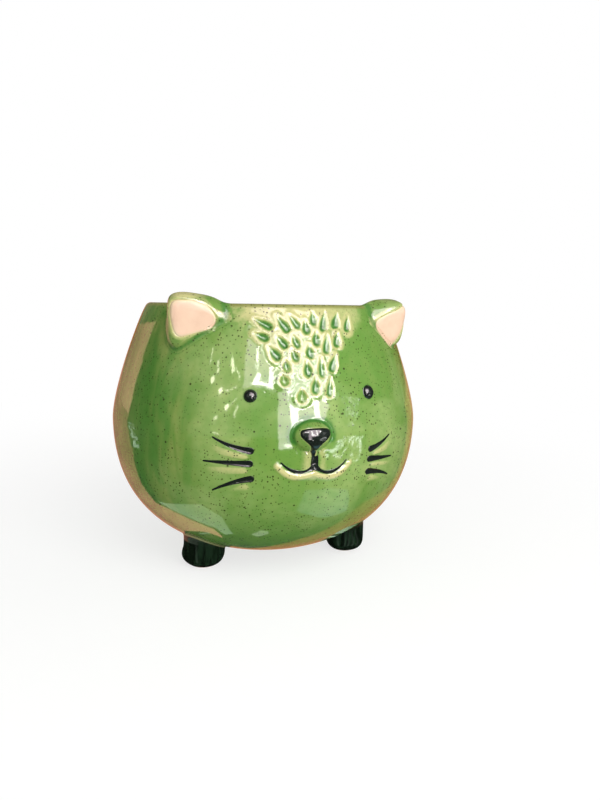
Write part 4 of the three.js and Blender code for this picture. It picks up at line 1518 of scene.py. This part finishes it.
def make_camera():
    """The photograph's view: from the left of the face, a little above the middle."""
    pan, pitch, roll, yaw = (math.radians(a) for a in (3.1326, 8.3805, 0.8437, -16.3))
    distance, focal_share = 306.304, 649.0 / 800
    ahead = Vector((math.sin(pan) * math.cos(pitch), math.cos(pan) * math.cos(pitch), -math.sin(pitch)))
    right = Vector((math.cos(pan), -math.sin(pan), 0))
    up = right.cross(ahead)
    across = math.cos(roll) * right + math.sin(roll) * up
    upright = math.cos(roll) * up - math.sin(roll) * right
    turn = Matrix.Rotation(yaw, 3, "Z")
    rows = [turn @ across, turn @ upright, turn @ -ahead]
    data = bpy.data.cameras.new("camera")
    data.sensor_width = 36.0
    data.lens = focal_share * data.sensor_width
    data.clip_start, data.clip_end = 0.01, 50
    camera = new_object("camera", data)
    spot = turn @ Vector((0, -distance, 0)) + Vector((0, POT_AXIS, RIM_HEIGHT))
    camera.matrix_world = Matrix.Translation(spot * TO_METRES) @ Matrix(rows).transposed().to_4x4()
    bpy.context.scene.camera = camera


def background_ray(tree):
    """1 for the rays that show the background, and 0 for those that light the pot."""
    rays = tree.tree.nodes.new("ShaderNodeLightPath").outputs
    return tree.largest(rays["Is Camera Ray"], rays["Is Glossy Ray"], rays["Is Transmission Ray"])


def make_world():
    world = bpy.data.worlds.new("studio")
    bpy.context.scene.world = world
    world.use_nodes = True
    world.node_tree.nodes.clear()
    tree = Tree(world.node_tree)
    strength = tree.ramp(background_ray(tree), 0.0, 1.0, AMBIENT_LEVEL, 1.0, "LINEAR")
    light = tree.add("ShaderNodeBackground", {"Color": (1, 1, 1, 1), "Strength": strength})
    tree.add("ShaderNodeOutputWorld", {"Surface": light})


def make_floor():
    """Pale paper that keeps the pot's shadow and fades into white."""
    mesh = bpy.data.meshes.new("floor")
    reach = 12.0
    corners = [(-reach, -reach, 0), (reach, -reach, 0), (reach, reach, 0), (-reach, reach, 0)]
    mesh.from_pydata(corners, [], [(0, 1, 2, 3)])
    floor = new_object("floor", mesh)
    material, tree, where = new_material("pale floor")
    away = tree.vector("LENGTH", where, out="Value")
    fade = tree.times(background_ray(tree), tree.ramp(away, 0.08, 0.50, 0.60, 1.0))
    paper = tree.add("ShaderNodeBsdfDiffuse", {"Color": (0.82, 0.82, 0.80, 1)})
    brightness = tree.ramp(away, 0.08, 0.50, 1.2, 1.0)
    glow = tree.add("ShaderNodeEmission", {"Color": (1, 1, 1, 1), "Strength": brightness})
    surface = tree.add("ShaderNodeMixShader", {0: fade, 1: paper, 2: glow})
    tree.add("ShaderNodeOutputMaterial", {"Surface": surface})
    mesh.materials.append(material)


def wall_board(name, first, last, tops, *paint):
    """A wall from the horizon up, between two azimuths."""
    room_board(name, [(first, HORIZON), (last, HORIZON), (last, tops[1]), (first, tops[0])], *paint)


def make_walls():
    """Dark walls all round, paler ones beside the window, and warm ones behind the pot."""
    wall_board("dark_wall", -132, 112, (89, 89), 4400, SHADE, 0.10, 20)
    wall_board("dark_wall_behind", 112, 228, (89, 89), 4390, (0.9, 0.85, 0.5), 0.28, 12)
    wall_board("pale_wall_left", -105, 0, (80, 80), 4300, PALE_WALL, 0.75, 10, 0.1)
    wall_board("pale_wall_right", 110, 0, (80, 80), 4300, PALE_WALL, 0.75, 10, 0.1)
    wall_board("warm_wall", 118, 190, (12, 5), 4250, (1.0, 0.30, 0.12), 0.5, 8, 0.3)
    room_board("warm_wall_left", [(190, HORIZON), (228, HORIZON), (226, 19.5), (190, 4.5)],
               4250, (1.0, 0.50, 0.34), 2.6, 8, 0.14)


def make_table():
    reach = ROOM_REACH
    floor_sheet("warm_table", TABLE, 0.6, (1.0, 0.40, 0.20), 0.66)
    floor_sheet("warm_table_left", [TABLE[0], TABLE[-1], (-reach, reach)] + TABLE_EDGE[:0:-1], 0.6, TAN, 0.75)
    fading_strip("warm_table_edge", TABLE_EDGE, EDGE_INSIDE, 0.62, (1.0, 0.46, 0.32), 2.6, EDGE_LEVELS)
    whole = [(-reach, -reach), (reach, -reach), (reach, reach), (-reach, reach)]
    floor_sheet("dark_table", whole, 0.3, SHADE, 0.16)


def make_cards():
    """Pale things on the table, whose reflections lie low on the pot and beside its nose."""
    floor_sheet("pale_card", [(2, -76), (12, -108), (44, -100), (58, -84), (42, -56), (20, -62)],
                0.8, (0.42, 0.85, 0.9), 1.0)
    floor_sheet("pale_strip", [(-193, 80), (-215, 62), (-700, 420), (-640, 510)],
                0.7, (0.8, 1.0, 0.85), 2.4, (14.0, 0, 1.0))
    floor_sheet("pale_cloth", [
        (-82, 0), (-72, -14), (-61, -27), (-51, -33), (-41, -38), (-33, -35), (-30, -40), (-46, -53),
        (-68, -50), (-77, -28)], 0.7, (0.78, 1.0, 0.75), 1.5)
    floor_sheet("pale_spot", [(-21, -45), (-17, -44), (-12, -49), (-13, -52), (-18, -52)],
                0.8, (0.9, 1.0, 0.8), 1.6)
    floor_sheet("cheek_film", [(92, -215), (440, -560), (420, -300), (125, -126), (98, -165)],
                0.7, FILM, 11.0, (60.0, 33, 0.10))
    room_board("eye_film", [(45, 3.6), (51, 3.6), (59, 15), (44, 18)],
               3950, FILM, 6.0, 4, 1.0, (9.0, 0, 1.0))


def make_window():
    """The window's haze on the wall and on the table in front of it."""
    floor_sheet("veil_on_table", [
        (-41, -290), (3, -290), (14, -877), (250, -4300), (-640, -4300), (-122, -914)], 0.7, VEIL, 8.0)
    floor_sheet("veil_spot", [(-32, -335), (-12, -300), (6, -325), (-10, -375)], 0.9, WHITE, 20.0)
    floor_sheet("small_spot", [(12, -262), (24, -268), (29, -236), (18, -226)], 0.9, WHITE, 18.0)
    room_board("window_veil_upper", [(-7, 24.5), (33, 19), (46, 44), (-16, 68)], 4000, VEIL, 9.5)
    room_board("window_veil_lower", [(-8.5, -6.0), (14, -2.0), (33, 19), (-7, 24.5)], 4000, VEIL, 8.5)
    room_board("window_haze", [(-33, 24.5), (-7, 24.5), (-14, 66), (-34, 60)], 4050, VEIL, 5.5)


def make_sparkles():
    for k, (first, last, half, level) in enumerate(SPARKLES):
        along = (last[0] - first[0], last[1] - first[1])
        across = [half * part / math.hypot(*along) for part in (-along[1], along[0])]
        ray = [(at[0] + sign * across[0], at[1] + sign * across[1])
               for at, sign in ((first, -1), (last, -1), (last, 1), (first, 1))]
        room_board(f"sparkle_{k}", ray, 3900, LAMPLIGHT, level, 1)


def make_studio():
    """The room that shows in the glaze, and the light of its window."""
    make_world()
    make_floor()
    make_walls()
    make_table()
    make_cards()
    make_window()
    for name, azimuth in FEET.items():
        foot_screen(name, azimuth)
    for name, corners in WINDOW_BARS.items():
        room_board(name, corners, 3900, WHITE, 30)
    make_sparkles()
    soft_lamp("window_light", 10, 24, 700, (520, 900), 3.4)


def main():
    make_camera()
    trees = {"turned": turned_wall_tree(), "pressed": pressed_strokes_tree(), "brushed": brushed_stroke_tree()}
    groups = {"tone": tone_group(), "specks": specks_group(), "edges": edges_group(), "ripple": ripple_group()}
    green, fitted_green, black, dark_green, clay = (
        pot_glaze(groups), fitted_glaze(groups), black_glaze(groups), foot_glaze(groups), bare_clay(groups))
    _, smooth_wall = make_pot(trees, green)
    make_ears(fitted_green, clay)
    make_nose(fitted_green, black)
    make_eyes(black)
    make_feet(dark_green)
    make_bead("mouth_line", [upright_stroke()] + smile_strokes(), smooth_wall, trees["brushed"], black)
    for name, whisker in WHISKERS.items():
        make_bead(name, [whisker_stroke(*whisker)], smooth_wall, trees["brushed"], black)
    bpy.data.objects.remove(smooth_wall)
    make_studio()
    bpy.context.scene.view_settings.view_transform = "Standard"


main()
